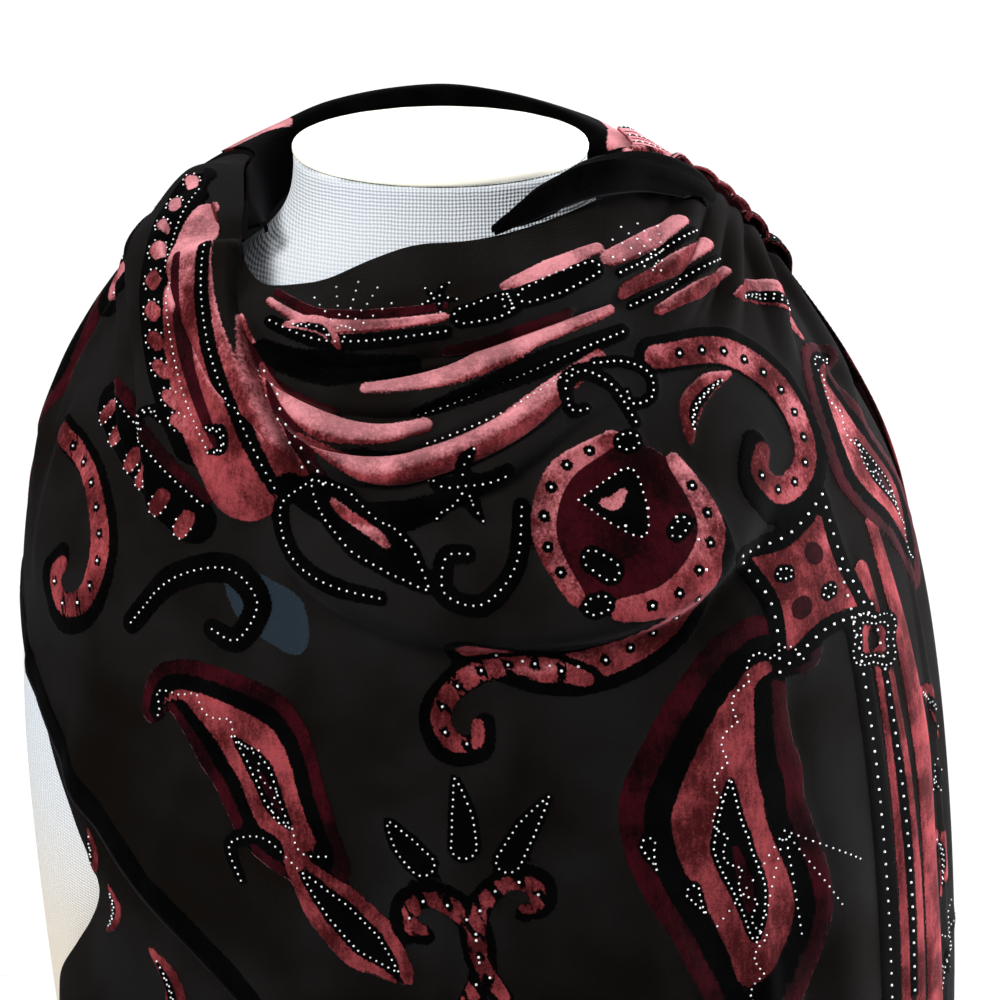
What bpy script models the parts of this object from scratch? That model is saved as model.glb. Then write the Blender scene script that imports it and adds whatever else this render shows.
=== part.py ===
"""A wide burnout velvet scarf of silk, wound once round a limbless bust form.

Metres, +Z up, the front faces -Y. The origin is the middle of the form's flat base.
Every stretch of cloth is a wall laid over the same plain drape: rings that widen from the
neckline down to the hem, each with its own height and reach at the front, sides and back.
A place on that drape is a turn, in degrees from the front towards +X, and a level, a row
of the table of rings. Folds are ridges that run along short paths on the drape.
"""

import math

import bpy
import numpy as np
from mathutils import Vector
from mathutils.bvhtree import BVHTree

SEAM_GAP = 0.0003
REST_GAP = 0.00045
WIDE_GAP = 0.0009
CLOTH = 0.0012
MILLIMETRE = 0.001

# The bust form: height, half width, front reach, back reach
FORM_RINGS = (
    (0.000, 0.1580, 0.1060, 0.1040),
    (0.070, 0.1565, 0.1020, 0.0960),
    (0.130, 0.1590, 0.1020, 0.0900),
    (0.190, 0.1630, 0.1070, 0.0900),
    (0.240, 0.1660, 0.1150, 0.0930),
    (0.285, 0.1680, 0.1220, 0.0960),
    (0.325, 0.1690, 0.1240, 0.0990),
    (0.365, 0.1680, 0.1200, 0.1020),
    (0.405, 0.1630, 0.1130, 0.1040),
    (0.436, 0.1550, 0.1060, 0.1030),
    (0.458, 0.1440, 0.0980, 0.1000),
    (0.476, 0.1310, 0.0900, 0.0950),
    (0.492, 0.1140, 0.0810, 0.0880),
    (0.506, 0.0950, 0.0720, 0.0800),
    (0.518, 0.0765, 0.0640, 0.0700),
    (0.528, 0.0640, 0.0590, 0.0610),
    (0.538, 0.0575, 0.0550, 0.0550),
    (0.548, 0.0555, 0.0528, 0.0528),
    (0.556, 0.0553, 0.0525, 0.0525),
)
FORM_SQUARE = 0.035
FORM_STEPS_ROUND = 40
BUST_TURN = 36.0
BUST_HEIGHT = 0.318
BUST_RISE = 0.006
BUST_SPREAD = 0.052

# The oval cap on the neck, tipped a little forward with the top of the neck
CAP_HALF_WIDTH = 0.0560
CAP_HALF_DEPTH = 0.0530
CAP_THICKNESS = 0.0036
CAP_TIP_DEGREES = 4.0
CAP_TIP_START = 0.515
CAP_STEPS_ROUND = 40
CAP_ROUNDING = 0.0011

# The plain drape: height at front, right, back, left; reach at right, left, front, back;
# and how much higher the ring is midway round to the right and to the left of the front
SCARF_RINGS = (
    (0.5080, 0.5300, 0.5480, 0.5300, 0.0660, 0.0665, 0.0640, 0.0620, 0.004, -0.010),
    (0.5370, 0.5490, 0.5670, 0.5500, 0.0720, 0.0740, 0.0740, 0.0690, 0.003, -0.012),
    (0.5160, 0.5430, 0.5520, 0.5460, 0.0915, 0.0930, 0.0880, 0.0850, 0.003, -0.009),
    (0.4860, 0.5280, 0.5260, 0.5310, 0.1100, 0.1090, 0.1020, 0.1010, 0.003, -0.005),
    (0.4520, 0.5050, 0.4940, 0.5070, 0.1300, 0.1210, 0.1140, 0.1110, 0.002, -0.002),
    (0.4120, 0.4690, 0.4520, 0.4760, 0.1560, 0.1410, 0.1260, 0.1160, 0.000, 0.000),
    (0.3660, 0.4290, 0.4060, 0.4360, 0.1755, 0.1580, 0.1350, 0.1180, 0.000, 0.000),
    (0.3140, 0.3720, 0.3540, 0.3840, 0.1890, 0.1655, 0.1380, 0.1180, 0.000, 0.000),
    (0.2560, 0.3080, 0.2920, 0.3220, 0.1990, 0.1695, 0.1380, 0.1190, 0.000, 0.000),
    (0.1920, 0.2360, 0.2240, 0.2520, 0.2060, 0.1730, 0.1370, 0.1210, 0.000, 0.000),
    (0.1220, 0.1560, 0.1500, 0.1700, 0.2100, 0.1750, 0.1360, 0.1230, 0.000, 0.000),
    (0.0500, 0.0700, 0.0700, 0.0800, 0.2120, 0.1770, 0.1360, 0.1250, 0.000, 0.000),
)
DRAPE_SQUARE = 0.035


def spline_rows(rows, level):
    """Smooth values between the rows of a table, one set per level."""
    table = np.asarray(rows, dtype=float)
    last = len(table) - 1
    level = np.clip(np.asarray(level, dtype=float), 0.0, last - 1e-9)
    index = np.floor(level).astype(int)
    part_way = (level - index)[:, None]
    before = table[np.maximum(index - 1, 0)]
    start = table[index]
    end = table[index + 1]
    after = table[np.minimum(index + 2, last)]
    slope_start = (end - before) * 0.5
    slope_end = (after - start) * 0.5
    square = part_way * part_way
    cube = square * part_way
    return (
        (2.0 * cube - 3.0 * square + 1.0) * start
        + (cube - 2.0 * square + part_way) * slope_start
        + (3.0 * square - 2.0 * cube) * end
        + (cube - square) * slope_end
    )


def drape_points(turn, level):
    """Places on the plain drape for turns in degrees and levels in rows."""
    turn = np.radians(np.asarray(turn, dtype=float))
    values = spline_rows(SCARF_RINGS, level)
    sine = np.sin(turn)
    cosine = np.cos(turn)
    front = np.maximum(cosine, 0.0) ** 2
    right = np.maximum(sine, 0.0) ** 2
    back = np.maximum(-cosine, 0.0) ** 2
    left = np.maximum(-sine, 0.0) ** 2
    height = front * values[:, 0] + right * values[:, 1] + back * values[:, 2] + left * values[:, 3]
    quarter = np.sin(2.0 * turn) ** 2 * (cosine > 0.0)
    height = height + quarter * np.where(sine > 0.0, values[:, 8], values[:, 9])
    across = np.where(sine > 0.0, values[:, 4], values[:, 5])
    deep = np.where(cosine > 0.0, values[:, 6], values[:, 7])
    fuller = 1.0 + DRAPE_SQUARE * np.sin(2.0 * turn) ** 2
    return np.stack([across * sine * fuller, -deep * cosine * fuller, height], axis=1)


def drape_normals(turn, level):
    """Outward directions of the plain drape."""
    turn = np.asarray(turn, dtype=float)
    level = np.asarray(level, dtype=float)
    round_step = drape_points(turn + 0.5, level) - drape_points(turn - 0.5, level)
    low = np.clip(level - 0.03, 0.0, len(SCARF_RINGS) - 1.001)
    high = np.clip(level + 0.03, 0.0, len(SCARF_RINGS) - 1.001)
    down_step = drape_points(turn, high) - drape_points(turn, low)
    normal = np.cross(down_step, round_step)
    return normal / np.linalg.norm(normal, axis=1)[:, None]


# Edges of the front stretch: turn, level of its upper edge, level of its hem
FRONT_EDGES = (
    (-100.0, 1.00, 7.30),
    (-88.0, 1.00, 6.98),
    (-78.0, 1.02, 6.92),
    (-70.0, 1.10, 7.05),
    (-58.0, 1.42, 7.25),
    (-48.0, 1.80, 7.46),
    (-40.0, 1.92, 7.66),
    (-30.0, 1.72, 7.86),
    (-16.0, 1.34, 8.34),
    (0.0, 1.05, 9.00),
    (18.0, 0.95, 9.66),
    (40.0, 0.95, 10.20),
    (66.0, 0.98, 10.50),
    (92.0, 1.00, 10.50),
)
FRONT_TURNS = (-100.0, 92.0)
FRONT_CELLS = (46, 42)
# Rows stand closest where the narrow pleats run: share of the rows, share of the height
FRONT_ROWS = ((0.00, 0.00), (0.10, 0.045), (0.34, 0.17), (0.66, 0.385), (0.82, 0.60), (1.00, 1.00))

# Edges of the back stretch: turn, level of its upper edge, level of its hem
BACK_EDGES = (
    (92.0, 1.90, 10.50),
    (120.0, 1.90, 10.30),
    (150.0, 1.90, 10.00),
    (180.0, 1.90, 9.60),
    (210.0, 1.90, 9.00),
    (235.0, 1.90, 8.30),
    (260.0, 1.90, 7.30),
)
BACK_TURNS = (92.2, 259.8)
BACK_CELLS = (24, 16)

# Edges of the band round the neck: turn, level of its foot at the neck, level of its outer edge
NECK_EDGES = (
    (64.0, 0.10, 0.80),
    (84.0, 0.05, 0.86),
    (100.0, 0.00, 0.92),
    (112.0, 0.00, 1.86),
    (180.0, 0.00, 1.86),
    (248.0, 0.00, 1.86),
    (258.0, 0.00, 0.93),
    (280.0, 0.15, 0.93),
    (290.0, 0.34, 1.03),
    (298.0, 0.74, 1.18),
    (304.0, 1.12, 1.38),
)
NECK_TURNS = (64.0, 304.0)
NECK_CELLS = (36, 7)

# Edges of the end tossed over the right shoulder: share down, turn at the left, turn at the
# right, level at the left, level at the right
TOSS_EDGES = (
    (0.00, 93.0, 119.0, 1.16, 1.20),
    (0.16, 93.0, 128.0, 2.20, 2.10),
    (0.38, 93.0, 140.0, 3.60, 3.30),
    (0.60, 93.8, 151.0, 5.30, 4.80),
    (0.80, 95.0, 159.0, 6.90, 6.10),
    (1.00, 96.0, 165.0, 8.20, 7.10),
)
TOSS_CELLS = (24, 16)
TOSS_TOP_SHARE = 0.35
TOSS_TOP_LENGTH = 0.4
TOSS_RAISE = 2.4
TOSS_GATHERS = (
    # across the fan, height, half width across the fan
    (0.07, 2.0, 0.085),
    (0.24, 3.5, 0.080),
    (0.41, 4.0, 0.070),
    (0.57, 5.5, 0.085),
    (0.76, 4.5, 0.080),
    (0.93, 4.0, 0.080),
)

# Edges of the end that hangs under the front: share down, turn at the left, turn at the right,
# level at the left, level at the right
UNDER_EDGES = (
    (0.00, -68.0, -14.0, 6.75, 7.60),
    (0.18, -63.0, -12.0, 7.30, 8.10),
    (0.32, -52.0, -11.0, 7.72, 8.45),
    (0.40, -47.5, -10.0, 7.95, 8.70),
    (0.52, -51.5, -9.0, 8.40, 9.05),
    (0.64, -56.5, -8.0, 8.85, 9.40),
    (0.78, -60.0, -7.0, 9.40, 9.90),
    (1.00, -63.0, -6.0, 10.45, 10.75),
)
UNDER_CELLS = (14, 14)
UNDER_DROP = 3.0

# The rolled velvet border on the right shoulder: turn, level, radius, opening of the roll
ROLL_STATIONS = (
    (16.0, 1.06, 2.2, 235.0),
    (23.0, 1.00, 4.4, 262.0),
    (32.0, 0.98, 6.4, 275.0),
    (42.0, 1.00, 7.6, 268.0),
    (52.0, 1.12, 8.4, 250.0),
    (61.0, 1.32, 8.4, 236.0),
    (69.0, 1.66, 7.8, 230.0),
    (75.0, 2.04, 6.4, 222.0),
    (79.0, 2.34, 4.4, 205.0),
)
ROLL_CELLS = (20, 9)
ROLL_RAISE = 0.3

# Folds: height, width to the left-hand side of the path, width to the right-hand side,
# lean towards the right-hand side, taper at the start and end as parts of the length,
# then the path in turns and levels. All sizes in millimetres.
FOLDS = (
    # the folded band along the neckline
    (8.0, 24.0, 10.0, 2.0, 0.15, 0.30, ((-46, 2.15), (-26, 2.45), (2, 2.25), (30, 2.15), (62, 2.40))),
    # four narrow pleats under it, running up to the right shoulder
    (7.0, 9.0, 7.0, 1.5, 0.20, 0.35, ((-40, 2.45), (-27, 2.92), (-8, 2.96), (11, 2.66), (27, 2.60), (42, 2.75))),
    (7.0, 8.0, 6.0, 1.5, 0.25, 0.40, ((-34, 2.95), (-22, 3.38), (-8, 3.36), (10, 3.05), (28, 2.86))),
    (7.5, 9.0, 6.5, 2.0, 0.25, 0.35, ((-27, 3.45), (-13, 3.68), (3, 3.47), (19, 3.15), (33, 2.98))),
    (6.5, 9.0, 8.0, 2.0, 0.20, 0.50, ((-24, 3.95), (-10, 3.98), (5, 3.72), (21, 3.36), (38, 3.22))),
    # the deep swag across the chest
    (13.0, 52.0, 15.0, 5.0, 0.20, 0.35, ((-28, 4.15), (-16, 4.58), (-4, 4.78), (10, 4.90), (26, 5.02), (41, 4.86), (53, 4.45))),
    (4.0, 20.0, 14.0, 1.0, 0.30, 0.50, ((-10, 4.35), (4, 4.40), (20, 4.20), (38, 3.75))),
    # the standing panel down the left side of the chest: its left crease, then its right edge
    (6.0, 40.0, 5.5, 0.5, 0.15, 0.45, ((-90, 2.90), (-76, 3.30), (-62, 3.72), (-53, 4.20), (-44, 4.80), (-36, 5.90))),
    (8.5, 6.0, 42.0, -2.0, 0.10, 0.20, ((-56, 1.60), (-46, 2.40), (-37, 3.10), (-29, 3.70), (-21, 4.12))),
    (3.5, 9.0, 9.0, 0.0, 0.30, 0.30, ((-66, 2.10), (-60, 2.80), (-54, 3.60), (-48, 4.40))),
    # the small pinch at the lower end of the neck edge
    (4.5, 7.0, 7.0, 0.0, 0.40, 0.40, ((-52, 1.95), (-46, 2.25), (-41, 2.55))),
    (3.5, 5.0, 5.0, 0.0, 0.40, 0.40, ((-60, 1.70), (-53, 2.15), (-47, 2.60))),
    # soft folds over the left shoulder
    (3.5, 10.0, 10.0, 0.0, 0.35, 0.35, ((-95, 1.40), (-84, 2.20), (-74, 3.00))),
    (4.0, 14.0, 14.0, 0.0, 0.35, 0.35, ((-98, 3.00), (-88, 4.20), (-80, 5.30), (-72, 6.20))),
    (3.0, 12.0, 12.0, 0.0, 0.35, 0.35, ((-70, 4.60), (-66, 5.60), (-64, 6.60))),
    # gathers that fan from the right shoulder
    (4.6, 9.0, 8.0, 0.5, 0.35, 0.10, ((38, 2.75), (52, 2.50), (74, 2.20), (100, 2.35))),
    (4.6, 9.0, 8.0, 0.5, 0.35, 0.10, ((42, 3.15), (58, 2.85), (76, 2.60), (101, 2.70))),
    (4.6, 9.0, 8.0, 0.5, 0.35, 0.10, ((52, 3.75), (64, 3.25), (79, 2.95), (101, 3.00))),
    (4.6, 9.0, 8.0, 0.5, 0.35, 0.10, ((64, 4.50), (73, 3.85), (84, 3.40), (101, 3.30))),
    (4.6, 9.0, 8.0, 0.5, 0.35, 0.10, ((76, 5.40), (82, 4.60), (89, 3.95), (101, 3.60))),
    (3.5, 8.0, 8.0, 0.0, 0.35, 0.10, ((60, 1.55), (76, 1.65), (100, 1.90))),
    # the standing edge on the right side and the folds beside it
    (5.0, 12.0, 30.0, -1.0, 0.30, 0.02, ((60, 5.70), (65, 6.30), (66, 7.20), (65, 8.20), (66, 9.40), (67, 10.80))),
    (4.0, 14.0, 18.0, 0.0, 0.30, 0.02, ((88, 4.80), (88, 5.60), (85, 6.60), (84, 8.20), (85, 10.60))),
    (3.0, 20.0, 20.0, 0.0, 0.35, 0.02, ((44, 6.20), (46, 7.20), (47, 8.60), (48, 10.70))),
    # soft falls below the swag
    (3.0, 12.0, 10.0, 0.0, 0.40, 0.40, ((10, 5.60), (7, 6.00), (4, 6.70))),
    (4.0, 30.0, 30.0, 0.0, 0.35, 0.05, ((-12, 5.60), (-14, 6.80), (-17, 8.20), (-20, 9.20))),
    (3.0, 28.0, 28.0, 0.0, 0.35, 0.05, ((20, 6.20), (22, 7.40), (22, 8.80), (21, 10.50))),
    (3.0, 14.0, 14.0, 0.0, 0.35, 0.05, ((-44, 5.80), (-47, 6.60), (-52, 7.70))),
    # falls down the back
    (5.0, 18.0, 18.0, 0.0, 0.25, 0.02, ((118, 5.20), (120, 7.00), (121, 10.30))),
    (6.0, 22.0, 22.0, 0.0, 0.25, 0.02, ((152, 2.60), (154, 5.00), (156, 7.50), (157, 9.90))),
    (7.0, 24.0, 24.0, 0.0, 0.25, 0.02, ((182, 2.20), (181, 4.50), (179, 7.00), (178, 9.60))),
    (6.0, 20.0, 20.0, 0.0, 0.25, 0.02, ((212, 2.50), (209, 4.50), (206, 7.00), (205, 9.10))),
    (4.5, 18.0, 18.0, 0.0, 0.25, 0.02, ((238, 3.20), (234, 5.20), (231, 7.00), (230, 8.40))),
)
NECK_FOLDS = (
    # soft creases along the band behind the neck
    (1.6, 6.0, 6.0, 0.0, 0.30, 0.30, ((112, 1.45), (140, 1.55), (172, 1.40), (205, 1.50))),
    (1.4, 5.0, 5.0, 0.0, 0.30, 0.30, ((160, 1.20), (200, 1.28), (236, 1.18))),
)
UNDER_FOLDS = (
    (3.0, 12.0, 12.0, 0.0, 0.20, 0.02, ((-72, 7.00), (-68, 8.20), (-66, 9.60))),
    (4.0, 14.0, 14.0, 0.0, 0.20, 0.02, ((-56, 7.60), (-54, 8.80), (-56, 10.30))),
    (3.0, 12.0, 12.0, 0.0, 0.20, 0.02, ((-38, 8.60), (-37, 9.40), (-38, 10.60))),
)
PATH_STEPS = 8
BLEND_POWER = 3.0


def path_spline(points, steps):
    """A smooth line through the named points of a path."""
    count = (len(points) - 1) * steps + 1
    level = np.linspace(0.0, len(points) - 1.0, count)
    return spline_rows(points, level)


def smooth_step(value):
    value = np.clip(value, 0.0, 1.0)
    return value * value * (3.0 - 2.0 * value)


def fold_shift(turn, level, folds):
    """How far each place on the drape is carried outwards and sideways by the folds."""
    points = drape_points(turn, level)
    normals = drape_normals(turn, level)
    raised = np.zeros(len(points))
    leaned = np.zeros((len(points), 3))
    for height, left_width, right_width, lean, start_taper, end_taper, path in folds:
        course = path_spline(path, PATH_STEPS)
        line = drape_points(course[:, 0], course[:, 1])
        reach = max(left_width, right_width) * MILLIMETRE
        middle = (line.min(axis=0) + line.max(axis=0)) * 0.5
        half = (line.max(axis=0) - line.min(axis=0)) * 0.5 + reach
        near = np.all(np.abs(points - middle) <= half, axis=1)
        if not near.any():
            continue
        place = points[near]
        best = np.full(len(place), 1e9)
        along = np.zeros(len(place))
        offset = np.zeros((len(place), 3))
        tangent = np.zeros((len(place), 3))
        steps = np.linalg.norm(np.diff(line, axis=0), axis=1)
        run = np.concatenate([[0.0], np.cumsum(steps)])
        for index in range(len(steps)):
            edge = line[index + 1] - line[index]
            length = max(steps[index], 1e-9)
            part_way = np.clip((place - line[index]) @ edge / length ** 2, 0.0, 1.0)
            gap = place - (line[index] + part_way[:, None] * edge)
            far = np.linalg.norm(gap, axis=1)
            closer = far < best
            best[closer] = far[closer]
            along[closer] = (run[index] + part_way[closer] * length) / run[-1]
            offset[closer] = gap[closer]
            tangent[closer] = edge / length
        side = np.cross(normals[near], tangent)
        side = side / np.maximum(np.linalg.norm(side, axis=1), 1e-9)[:, None]
        across = (offset * side).sum(axis=1)
        width = np.where(across > 0.0, left_width, right_width) * MILLIMETRE
        share = np.clip(best / width, 0.0, 1.0)
        crest = (1.0 - share ** 2) ** 2
        crest = crest * smooth_step(along / max(start_taper, 1e-3))
        crest = crest * smooth_step((1.0 - along) / max(end_taper, 1e-3))
        raised[near] += (height * MILLIMETRE * crest) ** BLEND_POWER
        leaned[near] -= side * (lean * MILLIMETRE * crest)[:, None]
    outward = raised ** (1.0 / BLEND_POWER)
    return points + normals * outward[:, None] + leaned, normals


def hermite(places, values, at):
    """A smooth curve through values at uneven places, with no overshoot at the ends."""
    at = np.clip(at, places[0], places[-1])
    index = np.clip(np.searchsorted(places, at, side="right") - 1, 0, len(places) - 2)
    rises = np.diff(values) / np.diff(places)
    slopes = np.concatenate([[rises[0]], np.zeros(len(places) - 2), [rises[-1]]])
    same = rises[:-1] * rises[1:] > 0.0
    inner = 2.0 * rises[:-1] * rises[1:] / np.where(same, rises[:-1] + rises[1:], 1.0)
    slopes[1:-1] = np.where(same, inner, 0.0)
    width = places[index + 1] - places[index]
    share = (at - places[index]) / width
    square = share * share
    cube = square * share
    return (
        (2.0 * cube - 3.0 * square + 1.0) * values[index]
        + (cube - 2.0 * square + share) * slopes[index] * width
        + (3.0 * square - 2.0 * cube) * values[index + 1]
        + (cube - square) * slopes[index + 1] * width
    )


def edge_values(rows, turn):
    """The upper edge and hem of a stretch at given turns."""
    table = np.asarray(rows, dtype=float)
    upper = hermite(table[:, 0], table[:, 1], turn)
    hem = hermite(table[:, 0], table[:, 2], turn)
    return upper, hem


def front_grid(across, down):
    """Turn and level of places on the front stretch."""
    first, last = FRONT_TURNS
    turn = first + (last - first) * across
    upper, hem = edge_values(FRONT_EDGES, turn)
    rows = np.asarray(FRONT_ROWS)
    return turn, upper + (hem - upper) * hermite(rows[:, 0], rows[:, 1], down)


def back_grid(across, down):
    """Turn and level of places on the back stretch."""
    first, last = BACK_TURNS
    turn = first + (last - first) * across
    upper, hem = edge_values(BACK_EDGES, turn)
    return turn, upper + (hem - upper) * down


def neck_grid(across, down):
    """Turn and level of places on the band round the neck."""
    first, last = NECK_TURNS
    turn = first + (last - first) * across
    upper, hem = edge_values(NECK_EDGES, turn)
    return turn, upper + (hem - upper) * down


def fan_grid(rows, across, down):
    """Turn and level of places on a stretch whose two sides are given down its length."""
    table = np.asarray(rows, dtype=float)
    left = hermite(table[:, 0], table[:, 1], down)
    right = hermite(table[:, 0], table[:, 2], down)
    left_level = hermite(table[:, 0], table[:, 3], down)
    right_level = hermite(table[:, 0], table[:, 4], down)
    return left + (right - left) * across, left_level + (right_level - left_level) * across


def unit_grid(cells):
    """Shares across and down for the corners of a grid of cells."""
    across, down = np.meshgrid(
        np.linspace(0.0, 1.0, cells[0] + 1),
        np.linspace(0.0, 1.0, cells[1] + 1),
        indexing="ij",
    )
    return across.ravel(), down.ravel()


def grid_normals(points, cells):
    """Directions square to a folded grid, away from the form."""
    net = points.reshape(cells[0] + 1, cells[1] + 1, 3)
    across = np.gradient(net, axis=0)
    down = np.gradient(net, axis=1)
    normal = np.cross(down, across).reshape(-1, 3)
    return normal / np.maximum(np.linalg.norm(normal, axis=1), 1e-12)[:, None]


def grid_faces(cells):
    """Faces of a grid, wound so that they look away from the form."""
    columns, rows = cells
    faces = []
    for column in range(columns):
        for row in range(rows):
            corner = column * (rows + 1) + row
            faces.append((corner, corner + 1, corner + rows + 2, corner + rows + 1))
    return faces


def clear_of(points, trees, gap):
    """Carry places out of the surfaces below them, to at least the gap."""
    out = points.copy()
    for index, place in enumerate(points):
        spot = Vector(place)
        for tree, reach, extra in trees:
            hit, normal, _, far = tree.find_nearest(spot)
            if hit is None or far > reach:
                continue
            away = (spot - hit).dot(normal)
            across = (spot - hit - normal * away).length
            if away < gap + extra and across < 0.004:
                spot = spot + normal * (gap + extra - away)
        out[index] = spot
    return out


def tree_of(points, faces):
    return BVHTree.FromPolygons([tuple(place) for place in points], faces)


def make_material(name, colour, roughness):
    material = bpy.data.materials.new(name)
    material.use_nodes = True
    shader = material.node_tree.nodes["Principled BSDF"]
    shader.inputs["Base Color"].default_value = (*colour, 1.0)
    shader.inputs["Roughness"].default_value = roughness
    shader.inputs["Metallic"].default_value = 0.0
    return material


def add_object(name, points, faces, material, group):
    """A named mesh object with smooth shading."""
    mesh = bpy.data.meshes.new(name)
    mesh.from_pydata([tuple(place) for place in points], [], faces)
    mesh.validate()
    for polygon in mesh.polygons:
        polygon.use_smooth = True
    mesh.materials.append(material)
    item = bpy.data.objects.new(name, mesh)
    group.objects.link(item)
    return item


def add_wall(name, points, faces, material, group):
    """A sheet given the thickness of the cloth, built outwards."""
    item = add_object(name, points, faces, material, group)
    wall = item.modifiers.new("cloth", "SOLIDIFY")
    wall.thickness = CLOTH
    wall.offset = 1.0
    wall.use_even_offset = False
    return item


def tip_forward(points):
    """The top of the neck leans a little forward with the cap."""
    share = smooth_step((points[:, 2] - CAP_TIP_START) / (FORM_RINGS[-1][0] - CAP_TIP_START))
    rise = points[:, 1] * math.tan(math.radians(CAP_TIP_DEGREES))
    out = points.copy()
    out[:, 2] += rise * share
    return out


def form_mesh():
    """Rings of the bust form, closed by its flat base and the top of its neck."""
    turns = np.linspace(0.0, 360.0, FORM_STEPS_ROUND, endpoint=False)
    radians = np.radians(turns)
    rings = []
    for height, half_width, front, back in FORM_RINGS:
        fuller = 1.0 + FORM_SQUARE * np.sin(2.0 * radians) ** 2
        deep = np.where(np.cos(radians) > 0.0, front, back)
        x = half_width * np.sin(radians) * fuller
        y = -deep * np.cos(radians) * fuller
        for side in (-1.0, 1.0):
            centre = math.radians(side * BUST_TURN)
            middle_x = half_width * math.sin(centre)
            middle_y = -front * math.cos(centre)
            far = np.sqrt((x - middle_x) ** 2 + (y - middle_y) ** 2 + (height - BUST_HEIGHT) ** 2)
            swell = BUST_RISE * (1.0 - np.clip(far / BUST_SPREAD, 0.0, 1.0) ** 2) ** 2
            x = x + swell * math.sin(centre) * 0.5
            y = y - swell
        rings.append(np.stack([x, y, np.full_like(x, height)], axis=1))
    points = tip_forward(np.concatenate(rings))
    steps = FORM_STEPS_ROUND
    faces = []
    for row in range(len(FORM_RINGS) - 1):
        for step in range(steps):
            after = (step + 1) % steps
            low = row * steps
            faces.append((low + step, low + after, low + steps + after, low + steps + step))
    faces.append(tuple(reversed(range(steps))))
    top = (len(FORM_RINGS) - 1) * steps
    faces.append(tuple(top + step for step in range(steps)))
    return points, faces


def cap_mesh():
    """The oval cap: a flat disc with a rounded edge, lying on the top of the neck."""
    base = FORM_RINGS[-1][0] + SEAM_GAP
    top = base + CAP_THICKNESS
    inset = CAP_ROUNDING
    sections = (
        (base, inset),
        (base + inset * 0.3, inset * 0.3),
        (base + inset, 0.0),
        (top - inset, 0.0),
        (top - inset * 0.3, inset * 0.3),
        (top, inset),
    )
    radians = np.radians(np.linspace(0.0, 360.0, CAP_STEPS_ROUND, endpoint=False))
    rings = []
    for height, less in sections:
        x = (CAP_HALF_WIDTH - less) * np.sin(radians)
        y = -(CAP_HALF_DEPTH - less) * np.cos(radians)
        rings.append(np.stack([x, y, np.full_like(x, height)], axis=1))
    points = np.concatenate(rings)
    points[:, 2] += points[:, 1] * math.tan(math.radians(CAP_TIP_DEGREES))
    steps = CAP_STEPS_ROUND
    faces = []
    for row in range(len(sections) - 1):
        for step in range(steps):
            after = (step + 1) % steps
            low = row * steps
            faces.append((low + step, low + after, low + steps + after, low + steps + step))
    faces.append(tuple(reversed(range(steps))))
    top_row = (len(sections) - 1) * steps
    faces.append(tuple(top_row + step for step in range(steps)))
    return points, faces


def roll_points(along, around):
    """Places on the rolled border: a rolled strip that lies along the shoulder edge."""
    table = np.asarray(ROLL_STATIONS, dtype=float)
    station = spline_rows(ROLL_STATIONS, along * (len(table) - 1))
    turn = station[:, 0]
    level = station[:, 1]
    normals = drape_normals(turn, level)
    step = 0.002
    first = spline_rows(ROLL_STATIONS, np.clip(along - step, 0.0, 1.0) * (len(table) - 1))
    second = spline_rows(ROLL_STATIONS, np.clip(along + step, 0.0, 1.0) * (len(table) - 1))
    ahead = drape_points(second[:, 0], second[:, 1]) - drape_points(first[:, 0], first[:, 1])
    ahead = ahead / np.linalg.norm(ahead, axis=1)[:, None]
    upward = np.cross(normals, ahead)
    upward = upward / np.linalg.norm(upward, axis=1)[:, None]
    radius = station[:, 2] * MILLIMETRE
    centre = drape_points(turn, level) + normals * (radius + ROLL_RAISE * MILLIMETRE)[:, None]
    opening = np.radians(station[:, 3])
    angle = np.radians(90.0) - opening * 0.5 + opening * (1.0 - around)
    ring = upward * (np.cos(angle) * radius)[:, None] * -1.0 + normals * (np.sin(angle) * radius)[:, None]
    return centre + ring


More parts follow.
